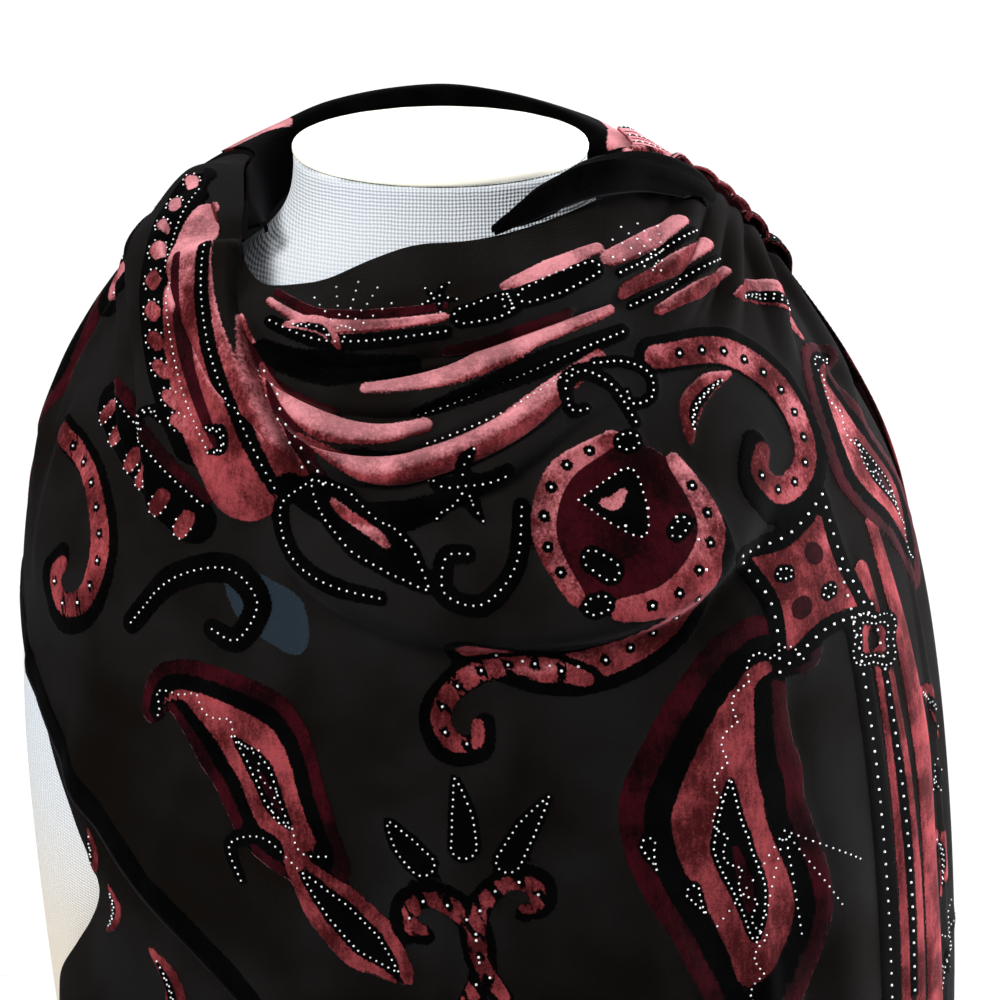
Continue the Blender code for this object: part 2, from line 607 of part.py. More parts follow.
def build():
    for item in list(bpy.data.objects):
        bpy.data.objects.remove(item, do_unlink=True)
    scene_group = bpy.context.scene.collection
    group = bpy.data.collections.new("silk_scarf")
    scene_group.children.link(group)

    linen = make_material("linen_cover", (0.83, 0.84, 0.82), 0.85)
    cream = make_material("cream_cap", (0.93, 0.91, 0.84), 0.45)
    velvet = make_material("wine_velvet", (0.16, 0.03, 0.05), 0.75)
    black = make_material("black_velvet", (0.01, 0.01, 0.012), 0.8)
    brown = make_material("brown_chiffon", (0.06, 0.05, 0.045), 0.7)
    rose = make_material("rose_velvet", (0.38, 0.09, 0.12), 0.75)
    dark = make_material("dark_chiffon", (0.035, 0.035, 0.035), 0.7)

    form_points, form_faces = form_mesh()
    add_object("form_body", form_points, form_faces, linen, group)
    form_tree = tree_of(form_points, form_faces)
    cap_points, cap_faces = cap_mesh()
    add_object("form_neck_cap", cap_points, cap_faces, cream, group)

    form_rest = (form_tree, 0.05, 0.0)

    across, down = unit_grid(UNDER_CELLS)
    turn, level = fan_grid(UNDER_EDGES, across, down)
    under, normals = fold_shift(turn, level, UNDER_FOLDS)
    under = under - normals * UNDER_DROP * MILLIMETRE
    under = clear_of(under, [form_rest], WIDE_GAP)
    faces = grid_faces(UNDER_CELLS)
    add_wall("scarf_under_fall", under, faces, dark, group)
    skin = under + grid_normals(under, UNDER_CELLS) * CLOTH
    under_tree = tree_of(skin, faces)

    across, down = unit_grid(FRONT_CELLS)
    turn, level = front_grid(across, down)
    front, normals = fold_shift(turn, level, FOLDS)
    front = clear_of(front, [form_rest, (under_tree, 0.012, 0.0010)], REST_GAP)
    faces = grid_faces(FRONT_CELLS)
    add_wall("scarf_front", front, faces, velvet, group)
    front_skin = front + grid_normals(front, FRONT_CELLS) * CLOTH
    front_tree = tree_of(front_skin, faces)

    across, down = unit_grid(BACK_CELLS)
    turn, level = back_grid(across, down)
    back, normals = fold_shift(turn, level, FOLDS)
    back = clear_of(back, [form_rest], REST_GAP)
    faces = grid_faces(BACK_CELLS)
    add_wall("scarf_back", back, faces, brown, group)
    back_skin = back + grid_normals(back, BACK_CELLS) * CLOTH
    back_tree = tree_of(back_skin, faces)

    across, down = unit_grid(NECK_CELLS)
    turn, level = neck_grid(across, down)
    neck, normals = fold_shift(turn, level, NECK_FOLDS)
    neck = clear_of(neck, [form_rest], WIDE_GAP)
    faces = grid_faces(NECK_CELLS)
    add_wall("scarf_neck_wrap", neck, faces, black, group)
    neck_skin = neck + grid_normals(neck, NECK_CELLS) * CLOTH
    neck_tree = tree_of(neck_skin, faces)

    across, down = unit_grid(TOSS_CELLS)
    turn, level = fan_grid(TOSS_EDGES, across, down)
    toss, normals = fold_shift(turn, level, FOLDS)
    gather = np.zeros(len(toss))
    for centre, height, spread in TOSS_GATHERS:
        share = np.clip(np.abs(across - centre) / spread, 0.0, 1.0)
        gather = gather + height * (1.0 - share ** 2) ** 2
    gather = gather * (TOSS_TOP_SHARE + (1.0 - TOSS_TOP_SHARE) * smooth_step(down / TOSS_TOP_LENGTH))
    toss = toss + normals * (gather * MILLIMETRE)[:, None]
    rests = [(back_tree, 0.03, 0.0), (neck_tree, 0.012, 0.0)]
    toss = clear_of(toss, rests, TOSS_RAISE * MILLIMETRE)
    faces = grid_faces(TOSS_CELLS)
    add_wall("scarf_right_toss", toss, faces, rose, group)

    around, along = unit_grid((ROLL_CELLS[1], ROLL_CELLS[0]))
    roll = roll_points(along, around)
    roll = clear_of(roll, [(front_tree, 0.012, 0.0)], WIDE_GAP)
    add_wall("scarf_shoulder_roll", roll, grid_faces((ROLL_CELLS[1], ROLL_CELLS[0])), black, group)


build()
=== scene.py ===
"""A burnout velvet scarf of silk, wound round a limbless bust form: its looks.

Metres, +Z up, the front faces -Y. The cloth lies on the same plain drape as its solids:
a place is a turn, in degrees from the front towards +X, and a level, a row of the table
of rings. The velvet's figure is drawn with strokes and patches whose edges are kept as
distances in millimetres on the cloth, so that one material can shade all of them.
"""

import math

import bpy
import numpy as np
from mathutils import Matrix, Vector
from mathutils.bvhtree import BVHTree


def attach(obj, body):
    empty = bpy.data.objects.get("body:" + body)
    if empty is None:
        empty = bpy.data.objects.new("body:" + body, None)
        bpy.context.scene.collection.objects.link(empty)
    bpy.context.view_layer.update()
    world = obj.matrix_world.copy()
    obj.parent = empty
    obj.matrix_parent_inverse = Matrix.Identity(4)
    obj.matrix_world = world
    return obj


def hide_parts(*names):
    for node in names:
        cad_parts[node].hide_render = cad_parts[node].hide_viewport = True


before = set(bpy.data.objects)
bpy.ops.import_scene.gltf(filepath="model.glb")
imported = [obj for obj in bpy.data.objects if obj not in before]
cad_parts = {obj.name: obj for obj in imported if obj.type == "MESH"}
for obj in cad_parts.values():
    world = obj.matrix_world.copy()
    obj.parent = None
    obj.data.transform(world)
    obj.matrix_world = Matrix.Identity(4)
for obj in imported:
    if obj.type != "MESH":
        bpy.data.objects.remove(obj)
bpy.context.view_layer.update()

MILLIMETRE = 0.001
PICTURE = 1000.0
CAMERA_PLACE = (0.0224, -0.933, 0.738)
CAMERA_PITCH = 71.0
CAMERA_LENS = 90.07
CAMERA_SENSOR = 36.0

REST_GAP = 0.00045
WIDE_GAP = 0.0009

# The bust form: height, half width, front reach, back reach
FORM_RINGS = (
    (0.000, 0.1580, 0.1060, 0.1040),
    (0.070, 0.1565, 0.1020, 0.0960),
    (0.130, 0.1590, 0.1020, 0.0900),
    (0.190, 0.1630, 0.1070, 0.0900),
    (0.240, 0.1660, 0.1150, 0.0930),
    (0.285, 0.1680, 0.1220, 0.0960),
    (0.325, 0.1690, 0.1240, 0.0990),
    (0.365, 0.1680, 0.1200, 0.1020),
    (0.405, 0.1630, 0.1130, 0.1040),
    (0.436, 0.1550, 0.1060, 0.1030),
    (0.458, 0.1440, 0.0980, 0.1000),
    (0.476, 0.1310, 0.0900, 0.0950),
    (0.492, 0.1140, 0.0810, 0.0880),
    (0.506, 0.0950, 0.0720, 0.0800),
    (0.518, 0.0765, 0.0640, 0.0700),
    (0.528, 0.0640, 0.0590, 0.0610),
    (0.538, 0.0575, 0.0550, 0.0550),
    (0.548, 0.0555, 0.0528, 0.0528),
    (0.556, 0.0553, 0.0525, 0.0525),
)

# The plain drape: height at front, right, back, left; reach at right, left, front, back;
# and how much higher the ring is midway round to the right and to the left of the front
SCARF_RINGS = (
    (0.5080, 0.5300, 0.5480, 0.5300, 0.0660, 0.0665, 0.0640, 0.0620, 0.004, -0.010),
    (0.5370, 0.5490, 0.5670, 0.5500, 0.0720, 0.0740, 0.0740, 0.0690, 0.003, -0.012),
    (0.5160, 0.5430, 0.5520, 0.5460, 0.0915, 0.0930, 0.0880, 0.0850, 0.003, -0.009),
    (0.4860, 0.5280, 0.5260, 0.5310, 0.1100, 0.1090, 0.1020, 0.1010, 0.003, -0.005),
    (0.4520, 0.5050, 0.4940, 0.5070, 0.1300, 0.1210, 0.1140, 0.1110, 0.002, -0.002),
    (0.4120, 0.4690, 0.4520, 0.4760, 0.1560, 0.1410, 0.1260, 0.1160, 0.000, 0.000),
    (0.3660, 0.4290, 0.4060, 0.4360, 0.1755, 0.1580, 0.1350, 0.1180, 0.000, 0.000),
    (0.3140, 0.3720, 0.3540, 0.3840, 0.1890, 0.1655, 0.1380, 0.1180, 0.000, 0.000),
    (0.2560, 0.3080, 0.2920, 0.3220, 0.1990, 0.1695, 0.1380, 0.1190, 0.000, 0.000),
    (0.1920, 0.2360, 0.2240, 0.2520, 0.2060, 0.1730, 0.1370, 0.1210, 0.000, 0.000),
    (0.1220, 0.1560, 0.1500, 0.1700, 0.2100, 0.1750, 0.1360, 0.1230, 0.000, 0.000),
    (0.0500, 0.0700, 0.0700, 0.0800, 0.2120, 0.1770, 0.1360, 0.1250, 0.000, 0.000),
)
DRAPE_SQUARE = 0.035


def spline_rows(rows, level):
    """Smooth values between the rows of a table, one set per level."""
    table = np.asarray(rows, dtype=float)
    last = len(table) - 1
    level = np.clip(np.asarray(level, dtype=float), 0.0, last - 1e-9)
    index = np.floor(level).astype(int)
    part_way = (level - index)[:, None]
    before = table[np.maximum(index - 1, 0)]
    start = table[index]
    end = table[index + 1]
    after = table[np.minimum(index + 2, last)]
    slope_start = (end - before) * 0.5
    slope_end = (after - start) * 0.5
    square = part_way * part_way
    cube = square * part_way
    return (
        (2.0 * cube - 3.0 * square + 1.0) * start
        + (cube - 2.0 * square + part_way) * slope_start
        + (3.0 * square - 2.0 * cube) * end
        + (cube - square) * slope_end
    )


def drape_points(turn, level):
    """Places on the plain drape for turns in degrees and levels in rows."""
    turn = np.radians(np.asarray(turn, dtype=float))
    values = spline_rows(SCARF_RINGS, level)
    sine = np.sin(turn)
    cosine = np.cos(turn)
    front = np.maximum(cosine, 0.0) ** 2
    right = np.maximum(sine, 0.0) ** 2
    back = np.maximum(-cosine, 0.0) ** 2
    left = np.maximum(-sine, 0.0) ** 2
    height = front * values[:, 0] + right * values[:, 1] + back * values[:, 2] + left * values[:, 3]
    quarter = np.sin(2.0 * turn) ** 2 * (cosine > 0.0)
    height = height + quarter * np.where(sine > 0.0, values[:, 8], values[:, 9])
    across = np.where(sine > 0.0, values[:, 4], values[:, 5])
    deep = np.where(cosine > 0.0, values[:, 6], values[:, 7])
    fuller = 1.0 + DRAPE_SQUARE * np.sin(2.0 * turn) ** 2
    return np.stack([across * sine * fuller, -deep * cosine * fuller, height], axis=1)


def drape_normals(turn, level):
    """Outward directions of the plain drape."""
    turn = np.asarray(turn, dtype=float)
    level = np.asarray(level, dtype=float)
    round_step = drape_points(turn + 0.5, level) - drape_points(turn - 0.5, level)
    low = np.clip(level - 0.03, 0.0, len(SCARF_RINGS) - 1.001)
    high = np.clip(level + 0.03, 0.0, len(SCARF_RINGS) - 1.001)
    down_step = drape_points(turn, high) - drape_points(turn, low)
    normal = np.cross(down_step, round_step)
    return normal / np.linalg.norm(normal, axis=1)[:, None]


# Edges of the front stretch: turn, level of its upper edge, level of its hem
FRONT_EDGES = (
    (-100.0, 1.00, 7.30),
    (-88.0, 1.00, 6.98),
    (-78.0, 1.02, 6.92),
    (-70.0, 1.10, 7.05),
    (-58.0, 1.42, 7.25),
    (-48.0, 1.80, 7.46),
    (-40.0, 1.92, 7.66),
    (-30.0, 1.72, 7.86),
    (-16.0, 1.34, 8.34),
    (0.0, 1.05, 9.00),
    (18.0, 0.95, 9.66),
    (40.0, 0.95, 10.20),
    (66.0, 0.98, 10.50),
    (92.0, 1.00, 10.50),
)
FRONT_TURNS = (-100.0, 92.0)
# Rows stand closest where the narrow pleats run: share of the rows, share of the height
FRONT_ROWS = ((0.00, 0.00), (0.10, 0.045), (0.34, 0.17), (0.66, 0.385), (0.82, 0.60), (1.00, 1.00))

# Edges of the back stretch: turn, level of its upper edge, level of its hem
BACK_EDGES = (
    (92.0, 1.90, 10.50),
    (120.0, 1.90, 10.30),
    (150.0, 1.90, 10.00),
    (180.0, 1.90, 9.60),
    (210.0, 1.90, 9.00),
    (235.0, 1.90, 8.30),
    (260.0, 1.90, 7.30),
)
BACK_TURNS = (92.2, 259.8)

# Edges of the band round the neck: turn, level of its foot at the neck, level of its outer edge
NECK_EDGES = (
    (64.0, 0.10, 0.80),
    (84.0, 0.05, 0.86),
    (100.0, 0.00, 0.92),
    (112.0, 0.00, 1.86),
    (180.0, 0.00, 1.86),
    (248.0, 0.00, 1.86),
    (258.0, 0.00, 0.93),
    (280.0, 0.15, 0.93),
    (290.0, 0.34, 1.03),
    (298.0, 0.74, 1.18),
    (304.0, 1.12, 1.38),
)
NECK_TURNS = (64.0, 304.0)

# Edges of the end tossed over the right shoulder: share down, turn at the left, turn at the
# right, level at the left, level at the right
TOSS_EDGES = (
    (0.00, 93.0, 119.0, 1.16, 1.20),
    (0.16, 93.0, 128.0, 2.20, 2.10),
    (0.38, 93.0, 140.0, 3.60, 3.30),
    (0.60, 93.8, 151.0, 5.30, 4.80),
    (0.80, 95.0, 159.0, 6.90, 6.10),
    (1.00, 96.0, 165.0, 8.20, 7.10),
)

TOSS_TOP_SHARE = 0.35
TOSS_TOP_LENGTH = 0.4
TOSS_RAISE = 2.4
TOSS_GATHERS = (
    # across the fan, height, half width across the fan
    (0.07, 2.0, 0.085),
    (0.24, 3.5, 0.080),
    (0.41, 4.0, 0.070),
    (0.57, 5.5, 0.085),
    (0.76, 4.5, 0.080),
    (0.93, 4.0, 0.080),
)

# Edges of the end that hangs under the front: share down, turn at the left, turn at the right,
# level at the left, level at the right
UNDER_EDGES = (
    (0.00, -68.0, -14.0, 6.75, 7.60),
    (0.18, -63.0, -12.0, 7.30, 8.10),
    (0.32, -52.0, -11.0, 7.72, 8.45),
    (0.40, -47.5, -10.0, 7.95, 8.70),
    (0.52, -51.5, -9.0, 8.40, 9.05),
    (0.64, -56.5, -8.0, 8.85, 9.40),
    (0.78, -60.0, -7.0, 9.40, 9.90),
    (1.00, -63.0, -6.0, 10.45, 10.75),
)
UNDER_DROP = 3.0

# The rolled velvet border on the right shoulder: turn, level, radius, opening of the roll
ROLL_STATIONS = (
    (16.0, 1.06, 2.2, 235.0),
    (23.0, 1.00, 4.4, 262.0),
    (32.0, 0.98, 6.4, 275.0),
    (42.0, 1.00, 7.6, 268.0),
    (52.0, 1.12, 8.4, 250.0),
    (61.0, 1.32, 8.4, 236.0),
    (69.0, 1.66, 7.8, 230.0),
    (75.0, 2.04, 6.4, 222.0),
    (79.0, 2.34, 4.4, 205.0),
)
ROLL_RAISE = 0.3

# Folds: height, width to the left-hand side of the path, width to the right-hand side,
# lean towards the right-hand side, taper at the start and end as parts of the length,
# then the path in turns and levels. All sizes in millimetres.
FOLDS = (
    # the folded band along the neckline
    (8.0, 24.0, 10.0, 2.0, 0.15, 0.30, ((-46, 2.15), (-26, 2.45), (2, 2.25), (30, 2.15), (62, 2.40))),
    # four narrow pleats under it, running up to the right shoulder
    (7.0, 9.0, 7.0, 1.5, 0.20, 0.35, ((-40, 2.45), (-27, 2.92), (-8, 2.96), (11, 2.66), (27, 2.60), (42, 2.75))),
    (7.0, 8.0, 6.0, 1.5, 0.25, 0.40, ((-34, 2.95), (-22, 3.38), (-8, 3.36), (10, 3.05), (28, 2.86))),
    (7.5, 9.0, 6.5, 2.0, 0.25, 0.35, ((-27, 3.45), (-13, 3.68), (3, 3.47), (19, 3.15), (33, 2.98))),
    (6.5, 9.0, 8.0, 2.0, 0.20, 0.50, ((-24, 3.95), (-10, 3.98), (5, 3.72), (21, 3.36), (38, 3.22))),
    # the deep swag across the chest
    (13.0, 52.0, 15.0, 5.0, 0.20, 0.35, ((-28, 4.15), (-16, 4.58), (-4, 4.78), (10, 4.90), (26, 5.02), (41, 4.86), (53, 4.45))),
    (4.0, 20.0, 14.0, 1.0, 0.30, 0.50, ((-10, 4.35), (4, 4.40), (20, 4.20), (38, 3.75))),
    # the standing panel down the left side of the chest: its left crease, then its right edge
    (6.0, 40.0, 5.5, 0.5, 0.15, 0.45, ((-90, 2.90), (-76, 3.30), (-62, 3.72), (-53, 4.20), (-44, 4.80), (-36, 5.90))),
    (8.5, 6.0, 42.0, -2.0, 0.10, 0.20, ((-56, 1.60), (-46, 2.40), (-37, 3.10), (-29, 3.70), (-21, 4.12))),
    (3.5, 9.0, 9.0, 0.0, 0.30, 0.30, ((-66, 2.10), (-60, 2.80), (-54, 3.60), (-48, 4.40))),
    # the small pinch at the lower end of the neck edge
    (4.5, 7.0, 7.0, 0.0, 0.40, 0.40, ((-52, 1.95), (-46, 2.25), (-41, 2.55))),
    (3.5, 5.0, 5.0, 0.0, 0.40, 0.40, ((-60, 1.70), (-53, 2.15), (-47, 2.60))),
    # soft folds over the left shoulder
    (3.5, 10.0, 10.0, 0.0, 0.35, 0.35, ((-95, 1.40), (-84, 2.20), (-74, 3.00))),
    (4.0, 14.0, 14.0, 0.0, 0.35, 0.35, ((-98, 3.00), (-88, 4.20), (-80, 5.30), (-72, 6.20))),
    (3.0, 12.0, 12.0, 0.0, 0.35, 0.35, ((-70, 4.60), (-66, 5.60), (-64, 6.60))),
    # gathers that fan from the right shoulder
    (4.6, 9.0, 8.0, 0.5, 0.35, 0.10, ((38, 2.75), (52, 2.50), (74, 2.20), (100, 2.35))),
    (4.6, 9.0, 8.0, 0.5, 0.35, 0.10, ((42, 3.15), (58, 2.85), (76, 2.60), (101, 2.70))),
    (4.6, 9.0, 8.0, 0.5, 0.35, 0.10, ((52, 3.75), (64, 3.25), (79, 2.95), (101, 3.00))),
    (4.6, 9.0, 8.0, 0.5, 0.35, 0.10, ((64, 4.50), (73, 3.85), (84, 3.40), (101, 3.30))),
    (4.6, 9.0, 8.0, 0.5, 0.35, 0.10, ((76, 5.40), (82, 4.60), (89, 3.95), (101, 3.60))),
    (3.5, 8.0, 8.0, 0.0, 0.35, 0.10, ((60, 1.55), (76, 1.65), (100, 1.90))),
    # the standing edge on the right side and the folds beside it
    (5.0, 12.0, 30.0, -1.0, 0.30, 0.02, ((60, 5.70), (65, 6.30), (66, 7.20), (65, 8.20), (66, 9.40), (67, 10.80))),
    (4.0, 14.0, 18.0, 0.0, 0.30, 0.02, ((88, 4.80), (88, 5.60), (85, 6.60), (84, 8.20), (85, 10.60))),
    (3.0, 20.0, 20.0, 0.0, 0.35, 0.02, ((44, 6.20), (46, 7.20), (47, 8.60), (48, 10.70))),
    # soft falls below the swag
    (3.0, 12.0, 10.0, 0.0, 0.40, 0.40, ((10, 5.60), (7, 6.00), (4, 6.70))),
    (4.0, 30.0, 30.0, 0.0, 0.35, 0.05, ((-12, 5.60), (-14, 6.80), (-17, 8.20), (-20, 9.20))),
    (3.0, 28.0, 28.0, 0.0, 0.35, 0.05, ((20, 6.20), (22, 7.40), (22, 8.80), (21, 10.50))),
    (3.0, 14.0, 14.0, 0.0, 0.35, 0.05, ((-44, 5.80), (-47, 6.60), (-52, 7.70))),
    # falls down the back
    (5.0, 18.0, 18.0, 0.0, 0.25, 0.02, ((118, 5.20), (120, 7.00), (121, 10.30))),
    (6.0, 22.0, 22.0, 0.0, 0.25, 0.02, ((152, 2.60), (154, 5.00), (156, 7.50), (157, 9.90))),
    (7.0, 24.0, 24.0, 0.0, 0.25, 0.02, ((182, 2.20), (181, 4.50), (179, 7.00), (178, 9.60))),
    (6.0, 20.0, 20.0, 0.0, 0.25, 0.02, ((212, 2.50), (209, 4.50), (206, 7.00), (205, 9.10))),
    (4.5, 18.0, 18.0, 0.0, 0.25, 0.02, ((238, 3.20), (234, 5.20), (231, 7.00), (230, 8.40))),
)
NECK_FOLDS = (
    # soft creases along the band behind the neck
    (1.6, 6.0, 6.0, 0.0, 0.30, 0.30, ((112, 1.45), (140, 1.55), (172, 1.40), (205, 1.50))),
    (1.4, 5.0, 5.0, 0.0, 0.30, 0.30, ((160, 1.20), (200, 1.28), (236, 1.18))),
)
UNDER_FOLDS = (
    (3.0, 12.0, 12.0, 0.0, 0.20, 0.02, ((-72, 7.00), (-68, 8.20), (-66, 9.60))),
    (4.0, 14.0, 14.0, 0.0, 0.20, 0.02, ((-56, 7.60), (-54, 8.80), (-56, 10.30))),
    (3.0, 12.0, 12.0, 0.0, 0.20, 0.02, ((-38, 8.60), (-37, 9.40), (-38, 10.60))),
)
PATH_STEPS = 8
BLEND_POWER = 3.0


def path_spline(points, steps):
    """A smooth line through the named points of a path."""
    count = (len(points) - 1) * steps + 1
    level = np.linspace(0.0, len(points) - 1.0, count)
    return spline_rows(points, level)


def smooth_step(value):
    value = np.clip(value, 0.0, 1.0)
    return value * value * (3.0 - 2.0 * value)


def fold_shift(turn, level, folds):
    """How far each place on the drape is carried outwards and sideways by the folds."""
    points = drape_points(turn, level)
    normals = drape_normals(turn, level)
    raised = np.zeros(len(points))
    leaned = np.zeros((len(points), 3))
    for height, left_width, right_width, lean, start_taper, end_taper, path in folds:
        course = path_spline(path, PATH_STEPS)
        line = drape_points(course[:, 0], course[:, 1])
        reach = max(left_width, right_width) * MILLIMETRE
        middle = (line.min(axis=0) + line.max(axis=0)) * 0.5
        half = (line.max(axis=0) - line.min(axis=0)) * 0.5 + reach
        near = np.all(np.abs(points - middle) <= half, axis=1)
        if not near.any():
            continue
        place = points[near]
        best = np.full(len(place), 1e9)
        along = np.zeros(len(place))
        offset = np.zeros((len(place), 3))
        tangent = np.zeros((len(place), 3))
        steps = np.linalg.norm(np.diff(line, axis=0), axis=1)
        run = np.concatenate([[0.0], np.cumsum(steps)])
        for index in range(len(steps)):
            edge = line[index + 1] - line[index]
            length = max(steps[index], 1e-9)
            part_way = np.clip((place - line[index]) @ edge / length ** 2, 0.0, 1.0)
            gap = place - (line[index] + part_way[:, None] * edge)
            far = np.linalg.norm(gap, axis=1)
            closer = far < best
            best[closer] = far[closer]
            along[closer] = (run[index] + part_way[closer] * length) / run[-1]
            offset[closer] = gap[closer]
            tangent[closer] = edge / length
        side = np.cross(normals[near], tangent)
        side = side / np.maximum(np.linalg.norm(side, axis=1), 1e-9)[:, None]
        across = (offset * side).sum(axis=1)
        width = np.where(across > 0.0, left_width, right_width) * MILLIMETRE
        share = np.clip(best / width, 0.0, 1.0)
        crest = (1.0 - share ** 2) ** 2
        crest = crest * smooth_step(along / max(start_taper, 1e-3))
        crest = crest * smooth_step((1.0 - along) / max(end_taper, 1e-3))
        raised[near] += (height * MILLIMETRE * crest) ** BLEND_POWER
        leaned[near] -= side * (lean * MILLIMETRE * crest)[:, None]
    outward = raised ** (1.0 / BLEND_POWER)
    return points + normals * outward[:, None] + leaned, normals


def hermite(places, values, at):
    """A smooth curve through values at uneven places, with no overshoot at the ends."""
    at = np.clip(at, places[0], places[-1])
    index = np.clip(np.searchsorted(places, at, side="right") - 1, 0, len(places) - 2)
    rises = np.diff(values) / np.diff(places)
    slopes = np.concatenate([[rises[0]], np.zeros(len(places) - 2), [rises[-1]]])
    same = rises[:-1] * rises[1:] > 0.0
    inner = 2.0 * rises[:-1] * rises[1:] / np.where(same, rises[:-1] + rises[1:], 1.0)
    slopes[1:-1] = np.where(same, inner, 0.0)
    width = places[index + 1] - places[index]
    share = (at - places[index]) / width
    square = share * share
    cube = square * share
    return (
        (2.0 * cube - 3.0 * square + 1.0) * values[index]
        + (cube - 2.0 * square + share) * slopes[index] * width
        + (3.0 * square - 2.0 * cube) * values[index + 1]
        + (cube - square) * slopes[index + 1] * width
    )


def edge_values(rows, turn):
    """The upper edge and hem of a stretch at given turns."""
    table = np.asarray(rows, dtype=float)
    upper = hermite(table[:, 0], table[:, 1], turn)
    hem = hermite(table[:, 0], table[:, 2], turn)
    return upper, hem


def front_grid(across, down):
    """Turn and level of places on the front stretch."""
    first, last = FRONT_TURNS
    turn = first + (last - first) * across
    upper, hem = edge_values(FRONT_EDGES, turn)
    rows = np.asarray(FRONT_ROWS)
    return turn, upper + (hem - upper) * hermite(rows[:, 0], rows[:, 1], down)


def back_grid(across, down):
    """Turn and level of places on the back stretch."""
    first, last = BACK_TURNS
    turn = first + (last - first) * across
    upper, hem = edge_values(BACK_EDGES, turn)
    return turn, upper + (hem - upper) * down


def neck_grid(across, down):
    """Turn and level of places on the band round the neck."""
    first, last = NECK_TURNS
    turn = first + (last - first) * across
    upper, hem = edge_values(NECK_EDGES, turn)
    return turn, upper + (hem - upper) * down


def fan_grid(rows, across, down):
    """Turn and level of places on a stretch whose two sides are given down its length."""
    table = np.asarray(rows, dtype=float)
    left = hermite(table[:, 0], table[:, 1], down)
    right = hermite(table[:, 0], table[:, 2], down)
    left_level = hermite(table[:, 0], table[:, 3], down)
    right_level = hermite(table[:, 0], table[:, 4], down)
    return left + (right - left) * across, left_level + (right_level - left_level) * across


def unit_grid(cells):
    """Shares across and down for the corners of a grid of cells."""
    across, down = np.meshgrid(
        np.linspace(0.0, 1.0, cells[0] + 1),
        np.linspace(0.0, 1.0, cells[1] + 1),
        indexing="ij",
    )
    return across.ravel(), down.ravel()


def grid_normals(points, cells):
    """Directions square to a folded grid, away from the form."""
    net = points.reshape(cells[0] + 1, cells[1] + 1, 3)
    across = np.gradient(net, axis=0)
    down = np.gradient(net, axis=1)
    normal = np.cross(down, across).reshape(-1, 3)
    return normal / np.maximum(np.linalg.norm(normal, axis=1), 1e-12)[:, None]


def clear_of(points, trees, gap):
    """Carry places out of the surfaces below them, to at least the gap."""
    out = points.copy()
    for index, place in enumerate(points):
        spot = Vector(place)
        for tree, reach, extra in trees:
            hit, normal, _, far = tree.find_nearest(spot)
            if hit is None or far > reach:
                continue
            away = (spot - hit).dot(normal)
            across = (spot - hit - normal * away).length
            if away < gap + extra and across < 0.004:
                spot = spot + normal * (gap + extra - away)
        out[index] = spot
    return out


def tree_of(points, faces):
    return BVHTree.FromPolygons([tuple(place) for place in points], faces)


def roll_points(along, around):
    """Places on the rolled border: a rolled strip that lies along the shoulder edge."""
    table = np.asarray(ROLL_STATIONS, dtype=float)
    station = spline_rows(ROLL_STATIONS, along * (len(table) - 1))
    turn = station[:, 0]
    level = station[:, 1]
    normals = drape_normals(turn, level)
    step = 0.002
    first = spline_rows(ROLL_STATIONS, np.clip(along - step, 0.0, 1.0) * (len(table) - 1))
    second = spline_rows(ROLL_STATIONS, np.clip(along + step, 0.0, 1.0) * (len(table) - 1))
    ahead = drape_points(second[:, 0], second[:, 1]) - drape_points(first[:, 0], first[:, 1])
    ahead = ahead / np.linalg.norm(ahead, axis=1)[:, None]
    upward = np.cross(normals, ahead)
    upward = upward / np.linalg.norm(upward, axis=1)[:, None]
    radius = station[:, 2] * MILLIMETRE
    centre = drape_points(turn, level) + normals * (radius + ROLL_RAISE * MILLIMETRE)[:, None]
    opening = np.radians(station[:, 3])
    angle = np.radians(90.0) - opening * 0.5 + opening * (1.0 - around)
    ring = upward * (np.cos(angle) * radius)[:, None] * -1.0 + normals * (np.sin(angle) * radius)[:, None]
    return centre + ring


